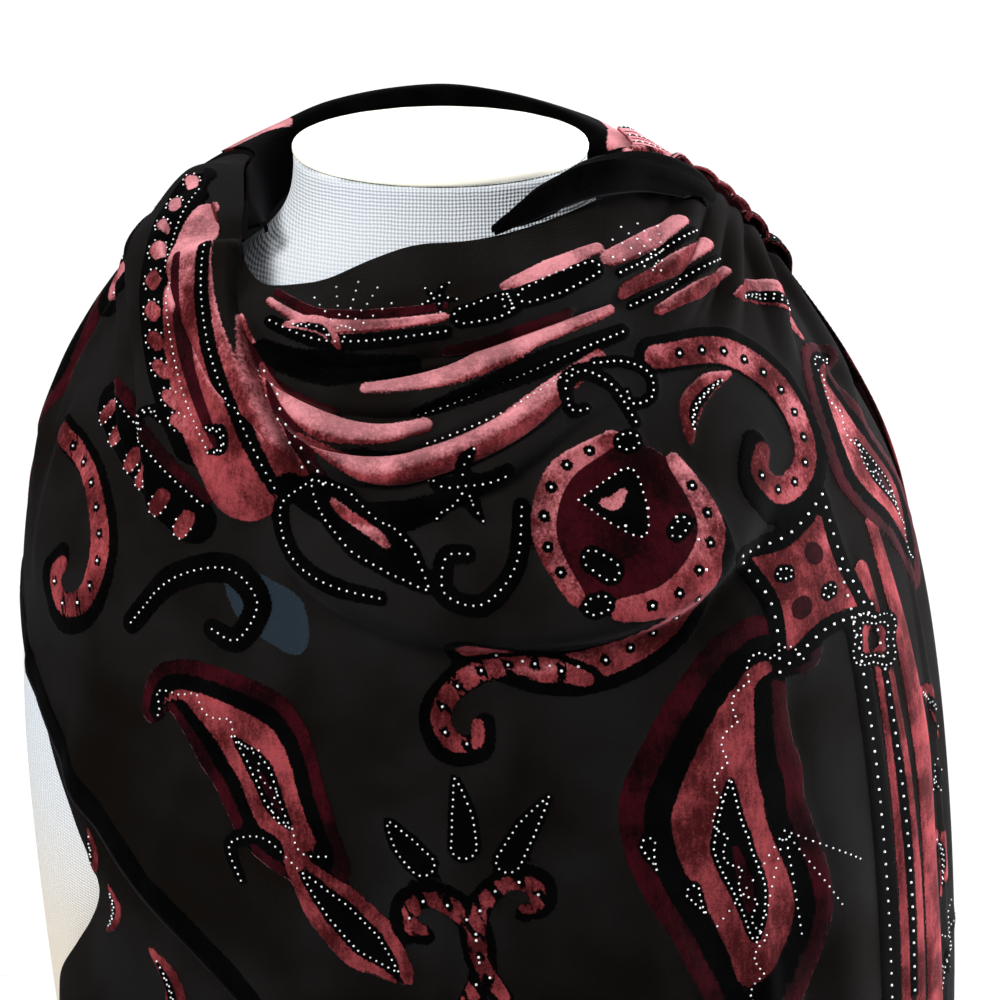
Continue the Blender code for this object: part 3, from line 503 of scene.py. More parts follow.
# Small creases of the finer cloth, in the same columns as the folds
CREASES = (
    (5.0, 3.2, 9.0, -2.0, 0.12, 0.15, ((-75, 2.5), (-66, 2.8), (-56, 3.1), (-48, 3.32), (-40, 3.62), (-32, 3.76), (-24, 4.06))),
    (4.0, 9.0, 2.6, 1.2, 0.10, 0.15, ((-84, 3.3), (-79, 3.7), (-71, 3.9), (-65, 4.1), (-60, 4.3), (-55, 4.52), (-50, 4.76))),
    (3.0, 8.0, 2.6, 0.8, 0.20, 0.20, ((-93, 1.62), (-78, 1.60), (-66, 1.60), (-55, 1.66))),
    (3.0, 4.0, 4.0, 0.0, 0.20, 0.30, ((-45, 2.3), (-39, 2.5), (-35, 2.72), (-31, 3.1))),
    (2.2, 3.5, 3.0, 0.4, 0.3, 0.4, ((-30, 2.62), (-16, 2.72), (0, 2.55), (16, 2.42))),
    (1.6, 3.0, 3.0, 0.0, 0.3, 0.4, ((-20, 3.14), (-6, 3.16), (10, 2.84))),
    (2.0, 4.0, 3.5, 0.4, 0.3, 0.4, ((4, 3.62), (18, 3.30), (34, 3.08))),
    (2.2, 5.0, 4.0, 0.0, 0.4, 0.5, ((-18, 4.30), (-4, 4.50), (12, 4.56), (28, 4.60))),
    (1.8, 6.0, 5.0, 0.0, 0.4, 0.4, ((-6, 5.25), (12, 5.45), (30, 5.35))),
    (1.8, 5.0, 5.0, 0.0, 0.4, 0.4, ((-58, 3.60), (-50, 4.30), (-44, 5.00))),
    (1.8, 4.0, 4.0, 0.0, 0.4, 0.4, ((-72, 1.55), (-66, 2.10), (-60, 2.70))),
    (2.0, 5.0, 5.0, 0.0, 0.4, 0.4, ((-84, 3.60), (-76, 4.80), (-72, 5.80))),
    (1.5, 6.0, 6.0, 0.0, 0.4, 0.2, ((-30, 6.00), (-34, 6.90), (-38, 7.70))),
    (1.5, 7.0, 7.0, 0.0, 0.4, 0.1, ((2, 6.60), (0, 7.60), (-2, 8.80))),
    (1.6, 6.0, 6.0, 0.0, 0.4, 0.1, ((34, 6.60), (36, 8.00), (37, 10.0))),
    (2.2, 4.0, 4.0, 0.0, 0.3, 0.1, ((74, 5.40), (76, 6.60), (76, 8.40), (77, 10.6))),
    (1.8, 3.5, 3.5, 0.0, 0.3, 0.1, ((48, 3.30), (62, 3.02), (80, 2.78), (101, 2.85))),
    (1.8, 3.5, 3.5, 0.0, 0.3, 0.1, ((44, 2.94), (60, 2.68), (80, 2.42), (101, 2.50))),
    (1.8, 5.0, 5.0, 0.0, 0.3, 0.1, ((136, 4.00), (138, 6.00), (139, 9.60))),
    (2.4, 7.0, 6.0, 0.0, 0.3, 0.1, ((168, 2.80), (167, 5.00), (166, 9.20))),
    (2.0, 6.0, 6.0, 0.0, 0.3, 0.1, ((196, 3.40), (194, 6.00), (193, 9.00))),
    (2.2, 7.0, 6.0, 0.0, 0.3, 0.1, ((224, 2.90), (221, 5.40), (218, 8.40))),
    (1.6, 5.0, 5.0, 0.0, 0.3, 0.1, ((248, 3.60), (245, 5.20), (243, 7.40))),
)

SHEET_INNER = 0.00015
SHEET_OUTER = 0.00065
PILE_HEIGHT = 0.0007
PILE_EDGE = 0.9
FAR_MM = 3.0


class Stretch:
    """One stretch of cloth: a fine grid with its flat places, its folded places and its pattern."""

    def __init__(self, name, cells, first, second, flat, folded):
        self.name = name
        self.cells = cells
        self.first = first
        self.second = second
        self.flat = flat
        self.folded = folded
        self.normals = grid_normals(folded, cells)
        self.flat_normals = grid_normals(flat, cells)
        self.velvet = np.full(len(flat), -FAR_MM)
        self.rose = np.full(len(flat), -FAR_MM)
        self.wine = np.full(len(flat), -FAR_MM)
        self.thin = np.full(len(flat), -FAR_MM)
        self.quads = quads_of(cells)
        self.flat_tree = BVHTree.FromPolygons(flat.tolist(), self.quads.tolist())
        self.folded_tree = BVHTree.FromPolygons(folded.tolist(), self.quads.tolist())
        self.beads = []

    def corner(self, face):
        """First corner of a cell, and the corners beside and below it."""
        rows = self.cells[1]
        column, row = divmod(face, rows)
        corner = column * (rows + 1) + row
        return corner, corner + rows + 1, corner + 1

    def shares(self, points, face, place):
        """How far across and down its cell a place lies."""
        corner, beside, below = self.corner(face)
        start = points[corner]
        right = points[beside] - start
        down = points[below] - start
        gap = np.asarray(place) - start
        rr, dd, rd = right @ right, down @ down, right @ down
        whole = max(rr * dd - rd * rd, 1e-18)
        along_right = (dd * (gap @ right) - rd * (gap @ down)) / whole
        along_down = (rr * (gap @ down) - rd * (gap @ right)) / whole
        return min(max(along_right, 0.0), 1.0), min(max(along_down, 0.0), 1.0)

    def read(self, values, face, share):
        corner, beside, below = self.corner(face)
        across, down = share
        start = values[corner]
        return start + (values[beside] - start) * across + (values[below] - start) * down

    def seen(self, column, row):
        """The place on the cloth under a point of the picture."""
        origin, ray = picture_ray(column, row)
        hit, _, face, _ = self.folded_tree.ray_cast(Vector(origin), Vector(ray))
        if hit is not None:
            share = self.shares(self.folded, face, hit)
            return self.read(self.first, face, share), self.read(self.second, face, share)
        shown = picture_places(self.folded)
        nearest = int(np.argmin((shown[:, 0] - column) ** 2 + (shown[:, 1] - row) ** 2))
        return self.first[nearest], self.second[nearest]


def quads_of(cells):
    """Faces of a grid, wound so that they look away from the form."""
    columns, rows = cells
    column, row = np.meshgrid(np.arange(columns), np.arange(rows), indexing="ij")
    corner = (column * (rows + 1) + row).ravel()
    return np.stack([corner, corner + 1, corner + rows + 2, corner + rows + 1], axis=1)


def unit_grid(cells):
    """Shares across and down for the corners of a grid of cells."""
    across, down = np.meshgrid(
        np.linspace(0.0, 1.0, cells[0] + 1),
        np.linspace(0.0, 1.0, cells[1] + 1),
        indexing="ij",
    )
    return across.ravel(), down.ravel()


def picture_axes():
    pitch = math.radians(90.0 - CAMERA_PITCH)
    ahead = np.array([0.0, math.cos(pitch), -math.sin(pitch)])
    upward = np.array([0.0, math.sin(pitch), math.cos(pitch)])
    return ahead, upward


def picture_ray(column, row):
    """The camera's ray through a point of the picture."""
    ahead, upward = picture_axes()
    reach = CAMERA_LENS / CAMERA_SENSOR * PICTURE
    middle = PICTURE / 2.0
    ray = ahead + np.array([1.0, 0.0, 0.0]) * (column - middle) / reach + upward * (middle - row) / reach
    return np.asarray(CAMERA_PLACE), ray / np.linalg.norm(ray)


def picture_places(points):
    """Where places show in the picture."""
    ahead, upward = picture_axes()
    reach = CAMERA_LENS / CAMERA_SENSOR * PICTURE
    middle = PICTURE / 2.0
    gap = points - np.asarray(CAMERA_PLACE)
    depth = gap @ ahead
    return np.stack([middle + reach * gap[:, 0] / depth, middle - reach * (gap @ upward) / depth], axis=1)


def rim_walk(cells):
    """Corners of a grid round its rim, in the order in which its faces run."""
    columns, rows = cells
    side = rows + 1
    walk = [row for row in range(rows)]
    walk += [column * side + rows for column in range(columns)]
    walk += [columns * side + row for row in range(rows, 0, -1)]
    walk += [column * side for column in range(columns, 0, -1)]
    return np.asarray(walk)


def closed_sheet(stretch):
    """Points and faces of a thin closed cloth: a fine outer skin, and an inner one half as fine."""
    columns, rows = stretch.cells
    pile = smooth_step((stretch.velvet + PILE_EDGE * 0.5) / PILE_EDGE) * PILE_HEIGHT
    outer = stretch.folded + stretch.normals * (SHEET_OUTER + pile)[:, None]
    half = (columns // 2, rows // 2)
    picked = np.arange(len(outer)).reshape(columns + 1, rows + 1)[::2, ::2].ravel()
    inner = stretch.folded[picked] + stretch.normals[picked] * SHEET_INNER
    points = np.concatenate([outer, inner])
    inner_quads = quads_of(half)[:, ::-1] + len(outer)
    rim = rim_walk(stretch.cells)
    inner_rim = rim_walk(half) + len(outer)
    first = rim[0::2]
    second = rim[1::2]
    third = np.roll(first, -1)
    below = inner_rim
    after = np.roll(below, -1)
    triangles = np.concatenate([
        np.stack([second, first, below], axis=1),
        np.stack([second, below, after], axis=1),
        np.stack([third, second, after], axis=1),
    ])
    quads = np.concatenate([stretch.quads, inner_quads])
    return points, quads, triangles, picked


def mesh_of(name, points, quads, triangles):
    """A mesh from whole tables of points and faces."""
    mesh = bpy.data.meshes.new(name)
    mesh.vertices.add(len(points))
    mesh.vertices.foreach_set("co", points.astype(np.float32).ravel())
    corners = np.concatenate([quads.ravel(), triangles.ravel()]).astype(np.int32)
    starts = np.concatenate([
        np.arange(len(quads)) * 4,
        len(quads) * 4 + np.arange(len(triangles)) * 3,
    ]).astype(np.int32)
    mesh.loops.add(len(corners))
    mesh.loops.foreach_set("vertex_index", corners)
    mesh.polygons.add(len(starts))
    mesh.polygons.foreach_set("loop_start", starts)
    mesh.polygons.foreach_set("use_smooth", np.ones(len(starts), dtype=bool))
    mesh.update(calc_edges=True)
    mesh.validate()
    return mesh


def add_piece(name, mesh, materials):
    item = bpy.data.objects.new(name, mesh)
    bpy.context.scene.collection.objects.link(item)
    for material in materials:
        mesh.materials.append(material)
    return item


def add_sheet(stretch, materials):
    """The finished cloth of one stretch, with its pattern kept on its points."""
    points, quads, triangles, picked = closed_sheet(stretch)
    mesh = mesh_of(stretch.name, points, quads, triangles)
    for title in ("velvet", "rose", "wine", "thin"):
        values = getattr(stretch, title)
        layer = mesh.attributes.new(title, "FLOAT", "POINT")
        whole = np.concatenate([values, values[picked]]).astype(np.float32)
        layer.data.foreach_set("value", whole)
    item = add_piece(stretch.name, mesh, materials)
    if len(materials) > 1:
        lit = np.concatenate([np.maximum(stretch.rose, stretch.wine), np.maximum(stretch.rose, stretch.wine)[picked]])
        quad_lit = lit[quads].mean(axis=1) > 0.0
        tri_lit = lit[triangles].mean(axis=1) > 0.0
        slots = np.concatenate([quad_lit, tri_lit]).astype(np.int32)
        mesh.polygons.foreach_set("material_index", slots)
    return item


# The figure's strokes and patches

STROKE_STEPS = 7
STROKE_MARGIN = 0.004


def smooth_line(points, steps=STROKE_STEPS):
    """A smooth line through points, in the cloth's own two coordinates."""
    table = np.asarray(points, dtype=float)
    if len(table) < 3:
        share = np.linspace(0.0, 1.0, steps + 1)[:, None]
        return table[0] + (table[-1] - table[0]) * share
    return spline_rows(table, np.linspace(0.0, len(table) - 1.0, (len(table) - 1) * steps + 1))


def widths_along(widths, count):
    """Half widths in metres spread evenly along a line."""
    table = np.asarray(widths, dtype=float)
    places = np.linspace(0.0, 1.0, len(table))
    return np.interp(np.linspace(0.0, 1.0, count), places, table) * MILLIMETRE


def stroke_depth(stretch, line, widths):
    """How deep, in millimetres, each near point lies inside a stroke."""
    reach = widths.max() + STROKE_MARGIN
    low = line.min(axis=0) - reach
    high = line.max(axis=0) + reach
    near = np.nonzero(np.all((stretch.flat >= low) & (stretch.flat <= high), axis=1))[0]
    if not len(near):
        return near, np.zeros(0)
    place = stretch.flat[near]
    depth = np.full(len(near), -1.0)
    for index in range(len(line) - 1):
        edge = line[index + 1] - line[index]
        length = max(float(edge @ edge), 1e-12)
        share = np.clip((place - line[index]) @ edge / length, 0.0, 1.0)
        far = np.linalg.norm(place - (line[index] + share[:, None] * edge), axis=1)
        width = widths[index] + (widths[index + 1] - widths[index]) * share
        depth = np.maximum(depth, width - far)
    return near, depth / MILLIMETRE


def patch_depth(stretch, ring, line):
    """How deep, in millimetres, each near point lies inside a closed patch."""
    near, outside = stroke_depth(stretch, line, np.zeros(len(line)))
    reach = STROKE_MARGIN
    low = line.min(axis=0) - reach
    high = line.max(axis=0) + reach
    near = np.nonzero(np.all((stretch.flat >= low) & (stretch.flat <= high), axis=1))[0]
    if not len(near):
        return near, np.zeros(0)
    across = stretch.first[near]
    down = stretch.second[near]
    inside = np.zeros(len(near), dtype=bool)
    for index in range(len(ring) - 1):
        (ax, ay), (bx, by) = ring[index], ring[index + 1]
        if ay == by:
            continue
        crosses = (ay > down) != (by > down)
        inside ^= crosses & (across < (bx - ax) * (down - ay) / (by - ay) + ax)
    return near, np.where(inside, -outside, outside)


def dye(stretch, near, depth, finish):
    """Lay one finish over what is already drawn."""
    depth = np.clip(depth, -FAR_MM, FAR_MM)
    if finish == "S":
        stretch.velvet[near] = np.minimum(stretch.velvet[near], -depth)
        return
    if finish == "T":
        stretch.thin[near] = np.maximum(stretch.thin[near], depth)
        return
    stretch.velvet[near] = np.maximum(stretch.velvet[near], depth)
    stretch.rose[near] = np.maximum(stretch.rose[near], depth) if finish == "R" else np.minimum(stretch.rose[near], -depth)
    stretch.wine[near] = np.maximum(stretch.wine[near], depth) if finish == "W" else np.minimum(stretch.wine[near], -depth)


def flat_normals_at(stretch, line):
    out = []
    for place in line:
        _, normal, _, _ = stretch.flat_tree.find_nearest(Vector(place))
        out.append(np.asarray(normal))
    return np.asarray(out)


def even_places(line, spacing):
    """Places at even spacing along a line."""
    steps = np.linalg.norm(np.diff(line, axis=0), axis=1)
    run = np.concatenate([[0.0], np.cumsum(steps)])
    count = max(int(round(run[-1] / spacing)), 1)
    at = np.linspace(0.0, run[-1], count + 1)
    return np.stack([np.interp(at, run, line[:, axis]) for axis in range(3)], axis=1)


BEAD_SPACING = 2.6
WIDE_SPACING = 5.2
FAN_SPACING = 3.6
BEAD_INSET = 1.6
DOT_SPACING = 9.5
DOT_RADIUS = 2.1
WAVE_HEIGHT = 2.3
WAVE_LENGTH = 15.0
SMALL_BEAD = 0.44
TINY_BEAD = 0.24
TINY_SPACING = 2.4
LARGE_BEAD = 0.60


def outline_of(stretch, line, widths, inset):
    """The edge of a stroke, drawn in by an inset, all the way round."""
    normals = flat_normals_at(stretch, line)
    ahead = np.gradient(line, axis=0)
    ahead = ahead / np.maximum(np.linalg.norm(ahead, axis=1), 1e-9)[:, None]
    side = np.cross(normals, ahead)
    side = side / np.maximum(np.linalg.norm(side, axis=1), 1e-9)[:, None]
    reach = np.maximum(widths - inset * MILLIMETRE, 0.0003)[:, None]
    start_cap = []
    end_cap = []
    for angle in np.radians((-60.0, -30.0, 0.0, 30.0, 60.0)):
        end_cap.append(line[-1] + (ahead[-1] * math.cos(angle) - side[-1] * math.sin(angle)) * reach[-1])
        start_cap.append(line[0] + (-ahead[0] * math.cos(angle) + side[0] * math.sin(angle)) * reach[0])
    left = line + side * reach
    right = line - side * reach
    return np.concatenate([left, end_cap, right[::-1], start_cap, left[:1]])


def wavy_line(stretch, line):
    """A line that swings in cusps about another."""
    fine = even_places(line, 0.0012)
    normals = flat_normals_at(stretch, fine)
    ahead = np.gradient(fine, axis=0)
    ahead = ahead / np.maximum(np.linalg.norm(ahead, axis=1), 1e-9)[:, None]
    side = np.cross(normals, ahead)
    run = np.arange(len(fine)) * 1.2 / WAVE_LENGTH
    swing = np.abs(np.sin(math.pi * run)) * 2.0 - 1.0
    return fine + side * (swing * WAVE_HEIGHT * MILLIMETRE)[:, None]


def sew(stretch, line, spacing, radius):
    """Beads at even spacing along a line."""
    for place in even_places(line, spacing * MILLIMETRE):
        stretch.beads.append((place, radius))


def flat_places(stretch, pairs):
    """Flat places of points given in the cloth's own two coordinates."""
    return stretch.flat_of(pairs[:, 0], pairs[:, 1])


def draw(stretch, finish, widths, beads, pairs, closed=False):
    """One stroke or patch of the figure, and the beads sewn along it."""
    if closed:
        pairs = list(pairs) + [pairs[0]]
        ring = np.asarray(pairs, dtype=float)
        ring = smooth_line(ring, 4)
        line = flat_places(stretch, ring)
        near, depth = patch_depth(stretch, ring, line)
        dye(stretch, near, depth, finish)
        if "c" in beads:
            sew(stretch, line, BEAD_SPACING, SMALL_BEAD)
        if "f" in beads:
            sew(stretch, line, FAN_SPACING, SMALL_BEAD)
        if "t" in beads:
            sew(stretch, line, TINY_SPACING, TINY_BEAD)
        return
    course = smooth_line(pairs)
    line = flat_places(stretch, course)
    half = widths_along(widths, len(line))
    if finish != "b":
        near, depth = stroke_depth(stretch, line, half)
        dye(stretch, near, depth, finish)
    if "c" in beads:
        sew(stretch, line, BEAD_SPACING, SMALL_BEAD)
    if "f" in beads:
        sew(stretch, line, FAN_SPACING, SMALL_BEAD)
    if "C" in beads:
        sew(stretch, line, WIDE_SPACING, LARGE_BEAD)
    if "e" in beads:
        sew(stretch, outline_of(stretch, line, half, BEAD_INSET), BEAD_SPACING, SMALL_BEAD)
    if "w" in beads:
        sew(stretch, wavy_line(stretch, line), BEAD_SPACING, SMALL_BEAD)
    if "d" in beads or "D" in beads:
        spots = even_places(line, DOT_SPACING * MILLIMETRE)[1:-1]
        for spot in spots:
            if "d" in beads:
                pair = np.stack([spot, spot])
                near, depth = stroke_depth(stretch, pair, np.full(2, DOT_RADIUS * MILLIMETRE))
                dye(stretch, near, depth, "K")
            stretch.beads.append((spot, LARGE_BEAD))


def beside(stretch, pair, right, down):
    """Cloth coordinates a few millimetres beside a place."""
    first, second = pair
    step_first, step_second = stretch.steps
    start = stretch.flat_of(np.array([first]), np.array([second]))[0]
    one = (stretch.flat_of(np.array([first + step_first]), np.array([second]))[0] - start) / step_first
    two = (stretch.flat_of(np.array([first]), np.array([second + step_second]))[0] - start) / step_second
    across = one / max(np.linalg.norm(one), 1e-9)
    normal = np.cross(two, one)
    along = np.cross(one, normal)
    along = along / max(np.linalg.norm(along), 1e-9)
    if along @ two < 0.0:
        along = -along
    target = (across * right + along * down) * MILLIMETRE
    aa, bb, ab = one @ one, two @ two, one @ two
    whole = max(aa * bb - ab * ab, 1e-18)
    return (
        first + (bb * (target @ one) - ab * (target @ two)) / whole,
        second + (aa * (target @ two) - ab * (target @ one)) / whole,
    )


# Lines that the bands run beside: the cloth's own folds, a level foot to the lapel and an
# upright border, as turns and levels of the drape
BAND_PATHS = {
    "neckline": FOLDS[0][-1], "pleat_1": FOLDS[1][-1], "pleat_2": FOLDS[2][-1],
    "pleat_3": FOLDS[3][-1], "pleat_4": FOLDS[4][-1], "lapel": FOLDS[8][-1],
    "foot": ((-60, 4.4), (-48, 4.5), (-36, 4.6)),
    "border": ((60, 5.8), (60, 8.2), (60, 10.6)),
}
BAND_POINTS = 5
# Bands on the front, in drawing order: finish, half widths in millimetres, beads, the line,
# from and to which share of it, millimetres to the right of it and below it. K is black
# velvet, R rose, W wine, S burnt out, T one layer over the pale form, b beads alone. Beads: c
# along the middle, C there but far apart, f a little apart, t tiny, e round the edge, w in
# waves, d on black dots, D bare.
FRONT_BANDS = (
    # the lapel, from its left side to its right edge, and its foot
    ("K", (8.0, 9.0, 9.0), "", "lapel", 0.1, 1.0, -44, 0),
    ("R", (6.0, 10.0, 14.0, 16.0), "", "lapel", 0.1, 1.0, -22, 0),
    ("b", (1.0,), "c", "lapel", 0.1, 1.0, -39, 0),
    ("W", (1.4, 2.4, 1.4), "", "lapel", 0.3, 0.95, -31, 0),
    ("K", (2.6, 3.0, 2.4), "c", "lapel", 0.2, 1.0, -12, 0),
    ("R", (3.0, 5.0, 5.0, 3.0), "D", "lapel", 0.3, 0.9, 8, 0),
    ("W", (3.0, 4.0, 3.0), "", "lapel", 0.45, 0.85, 17, 0),
    ("b", (1.0,), "C", "lapel", 0.45, 0.85, 17, 0),
    ("K", (8.0, 8.0, 8.0), "", "foot", 0.0, 1.0, 0, 6),
    # the wine strip just above the foot is painted shade drawn in the wine dye: it darkens the bottom of the rose
    # lapel
    ("W", (1.6, 2.4, 1.6), "", "foot", 0.0, 1.0, 0, -3),
    ("b", (1.0,), "c", "foot", 0.0, 1.0, 0, 0),
    # edging beside the neckline
    ("W", (1.4, 2.2, 1.4), "", "neckline", 0.15, 0.50, 0, -10),
    ("R", (1.2, 2.4, 1.4), "", "neckline", 0.15, 0.50, 0, -6),
    ("K", (2.2, 2.6, 2.2), "c", "neckline", 0.20, 0.50, 0, -1),
    ("K", (4.0, 7.0, 4.0), "", "neckline", 0.20, 0.45, 0, 8),
    ("K", (4.0, 5.2, 4.0), "e", "neckline", 0.52, 0.64, 0, -5),
    ("K", (4.0, 5.2, 4.0), "e", "neckline", 0.66, 0.78, 0, -5),
    ("W", (1.8, 2.6, 1.8), "", "neckline", 0.50, 0.72, 0, 5),
    ("R", (1.4, 2.8, 2.0), "", "neckline", 0.62, 0.82, 0, -11),
    # bands up to the right shoulder
    ("R", (3.0, 4.0, 3.0), "", "neckline", 0.80, 1.0, 0, -6),
    ("K", (1.8, 2.0, 1.8), "c", "neckline", 0.80, 1.0, 0, 0),
    ("R", (3.0, 3.6, 3.0), "", "neckline", 0.80, 1.0, 0, 6),
    ("K", (1.8, 2.0, 1.8), "c", "neckline", 0.82, 1.0, 0, 12),
    ("R", (2.0, 2.8, 2.0), "", "neckline", 0.84, 1.0, 0, 17),
    # ribbons along the pleats of the cowl
    ("R", (1.6, 4.2, 2.0), "", "pleat_1", 0.35, 0.90, 0, -4),
    ("K", (3.0, 5.0, 3.0), "c", "pleat_1", 0.45, 0.90, 0, 5),
    ("W", (1.6, 2.4, 1.6), "", "pleat_1", 0.05, 0.30, 0, 4),
    ("R", (2.0, 3.6, 2.0), "", "pleat_2", 0.05, 0.60, 0, -3),
    ("K", (1.2, 3.4, 1.2), "", "pleat_2", 0.30, 0.55, 0, 4),
    ("b", (1.0,), "c", "pleat_2", 0.60, 0.95, 0, 2),
    ("R", (2.0, 4.6, 4.6, 2.4), "", "pleat_3", 0.10, 0.95, 0, -2),
    ("K", (4.0, 6.0, 3.0), "", "pleat_4", 0.0, 0.60, 0, 3),
    # upright border on the right
    ("K", (4.6, 5.0, 5.0), "C", "border", 0.0, 1.0, -14, 0),
    ("R", (4.4, 6.0, 6.0), "", "border", 0.05, 1.0, -2, 0),
    ("K", (1.6, 2.4, 2.0), "C", "border", 0.10, 0.6, -2, 0),
    ("R", (4.0, 8.0, 8.0), "", "border", 0.0, 1.0, 14, 0),
)
# Rose ovals in even rows beside the same lines: how many, half length, half width, turned
# upright, the line, from and to which share, millimetres to the right and down
SCALLOP_ROWS = (
    (10, 2.2, 2.2, False, "lapel", 0.14, 0.96, -50, 0),
    (6, 2.4, 2.8, True, "foot", 0.05, 0.95, 0, 9),
)
# Motifs on the front: motif, column and row of its middle in the picture, size, degrees
# turned, mirrored. Their shapes are the general ones below.
FRONT_MOTIFS = (
    ("paisley", 868, 470, 0.74, -14, 1), ("paisley", 722, 838, 1.22, 4, 1),
    ("fan", 790, 872, 2.3, 186, 1), ("pip", 640, 862, 1.0, 0, 1),
    ("paisley", 262, 762, 0.72, -50, -1), ("bud", 318, 902, 0.95, 4, 1),
    ("scroll", 762, 408, 0.95, 70, 1), ("scroll", 652, 612, 1.05, 168, -1),
    ("scroll", 482, 694, 0.62, -8, -1), ("scroll", 452, 934, 0.60, 80, -1),
    ("scroll", 498, 914, 0.54, -80, 1), ("scroll", 84, 540, 0.80, 34, 1),
    ("medallion", 622, 520, 0.95, 0, 1), ("block", 800, 580, 0.98, 10, 1),
    ("leaf", 758, 302, 1.0, 56, 1), ("leaf", 312, 330, 0.5, 10, 1),
    ("leaf", 704, 398, 0.8, -20, -1), ("star", 466, 486, 0.9, 10, 1),
    ("star", 440, 298, 0.4, 30, 1), ("pod", 368, 536, 0.85, 6, 1), ("curl", 476, 572, 0.9, 175, 1),
    ("curl", 214, 606, 1.25, -6, 1), ("curl", 588, 396, 0.7, 20, -1), ("curl", 632, 384, 0.6, 90, 1),
    ("window", 266, 604, 1.0, 0, 1), ("drops", 464, 846, 1.1, 0, 1), ("fan", 350, 314, 1.0, 0, 1), ("fan", 645, 252, 1.05, 0, 1),
    ("leaf", 926, 704, 0.8, 74, 1), ("star", 932, 776, 0.5, 20, 1), ("leaf", 938, 860, 0.8, 84, -1),
    ("star", 942, 966, 0.6, 50, 1), ("scallop", 150, 420, 0.8, 20, 1), ("scallop", 216, 440, 0.8, -30, -1),
)
LOBED_FLOWERS = ((871, 639),)
# The same on the fall under the front
UNDER_MOTIFS = (
    ("leaf", 92, 852, 0.55, 80, 1), ("leaf", 114, 912, 0.5, 70, -1), ("leaf", 168, 984, 0.8, 60, 1),
)

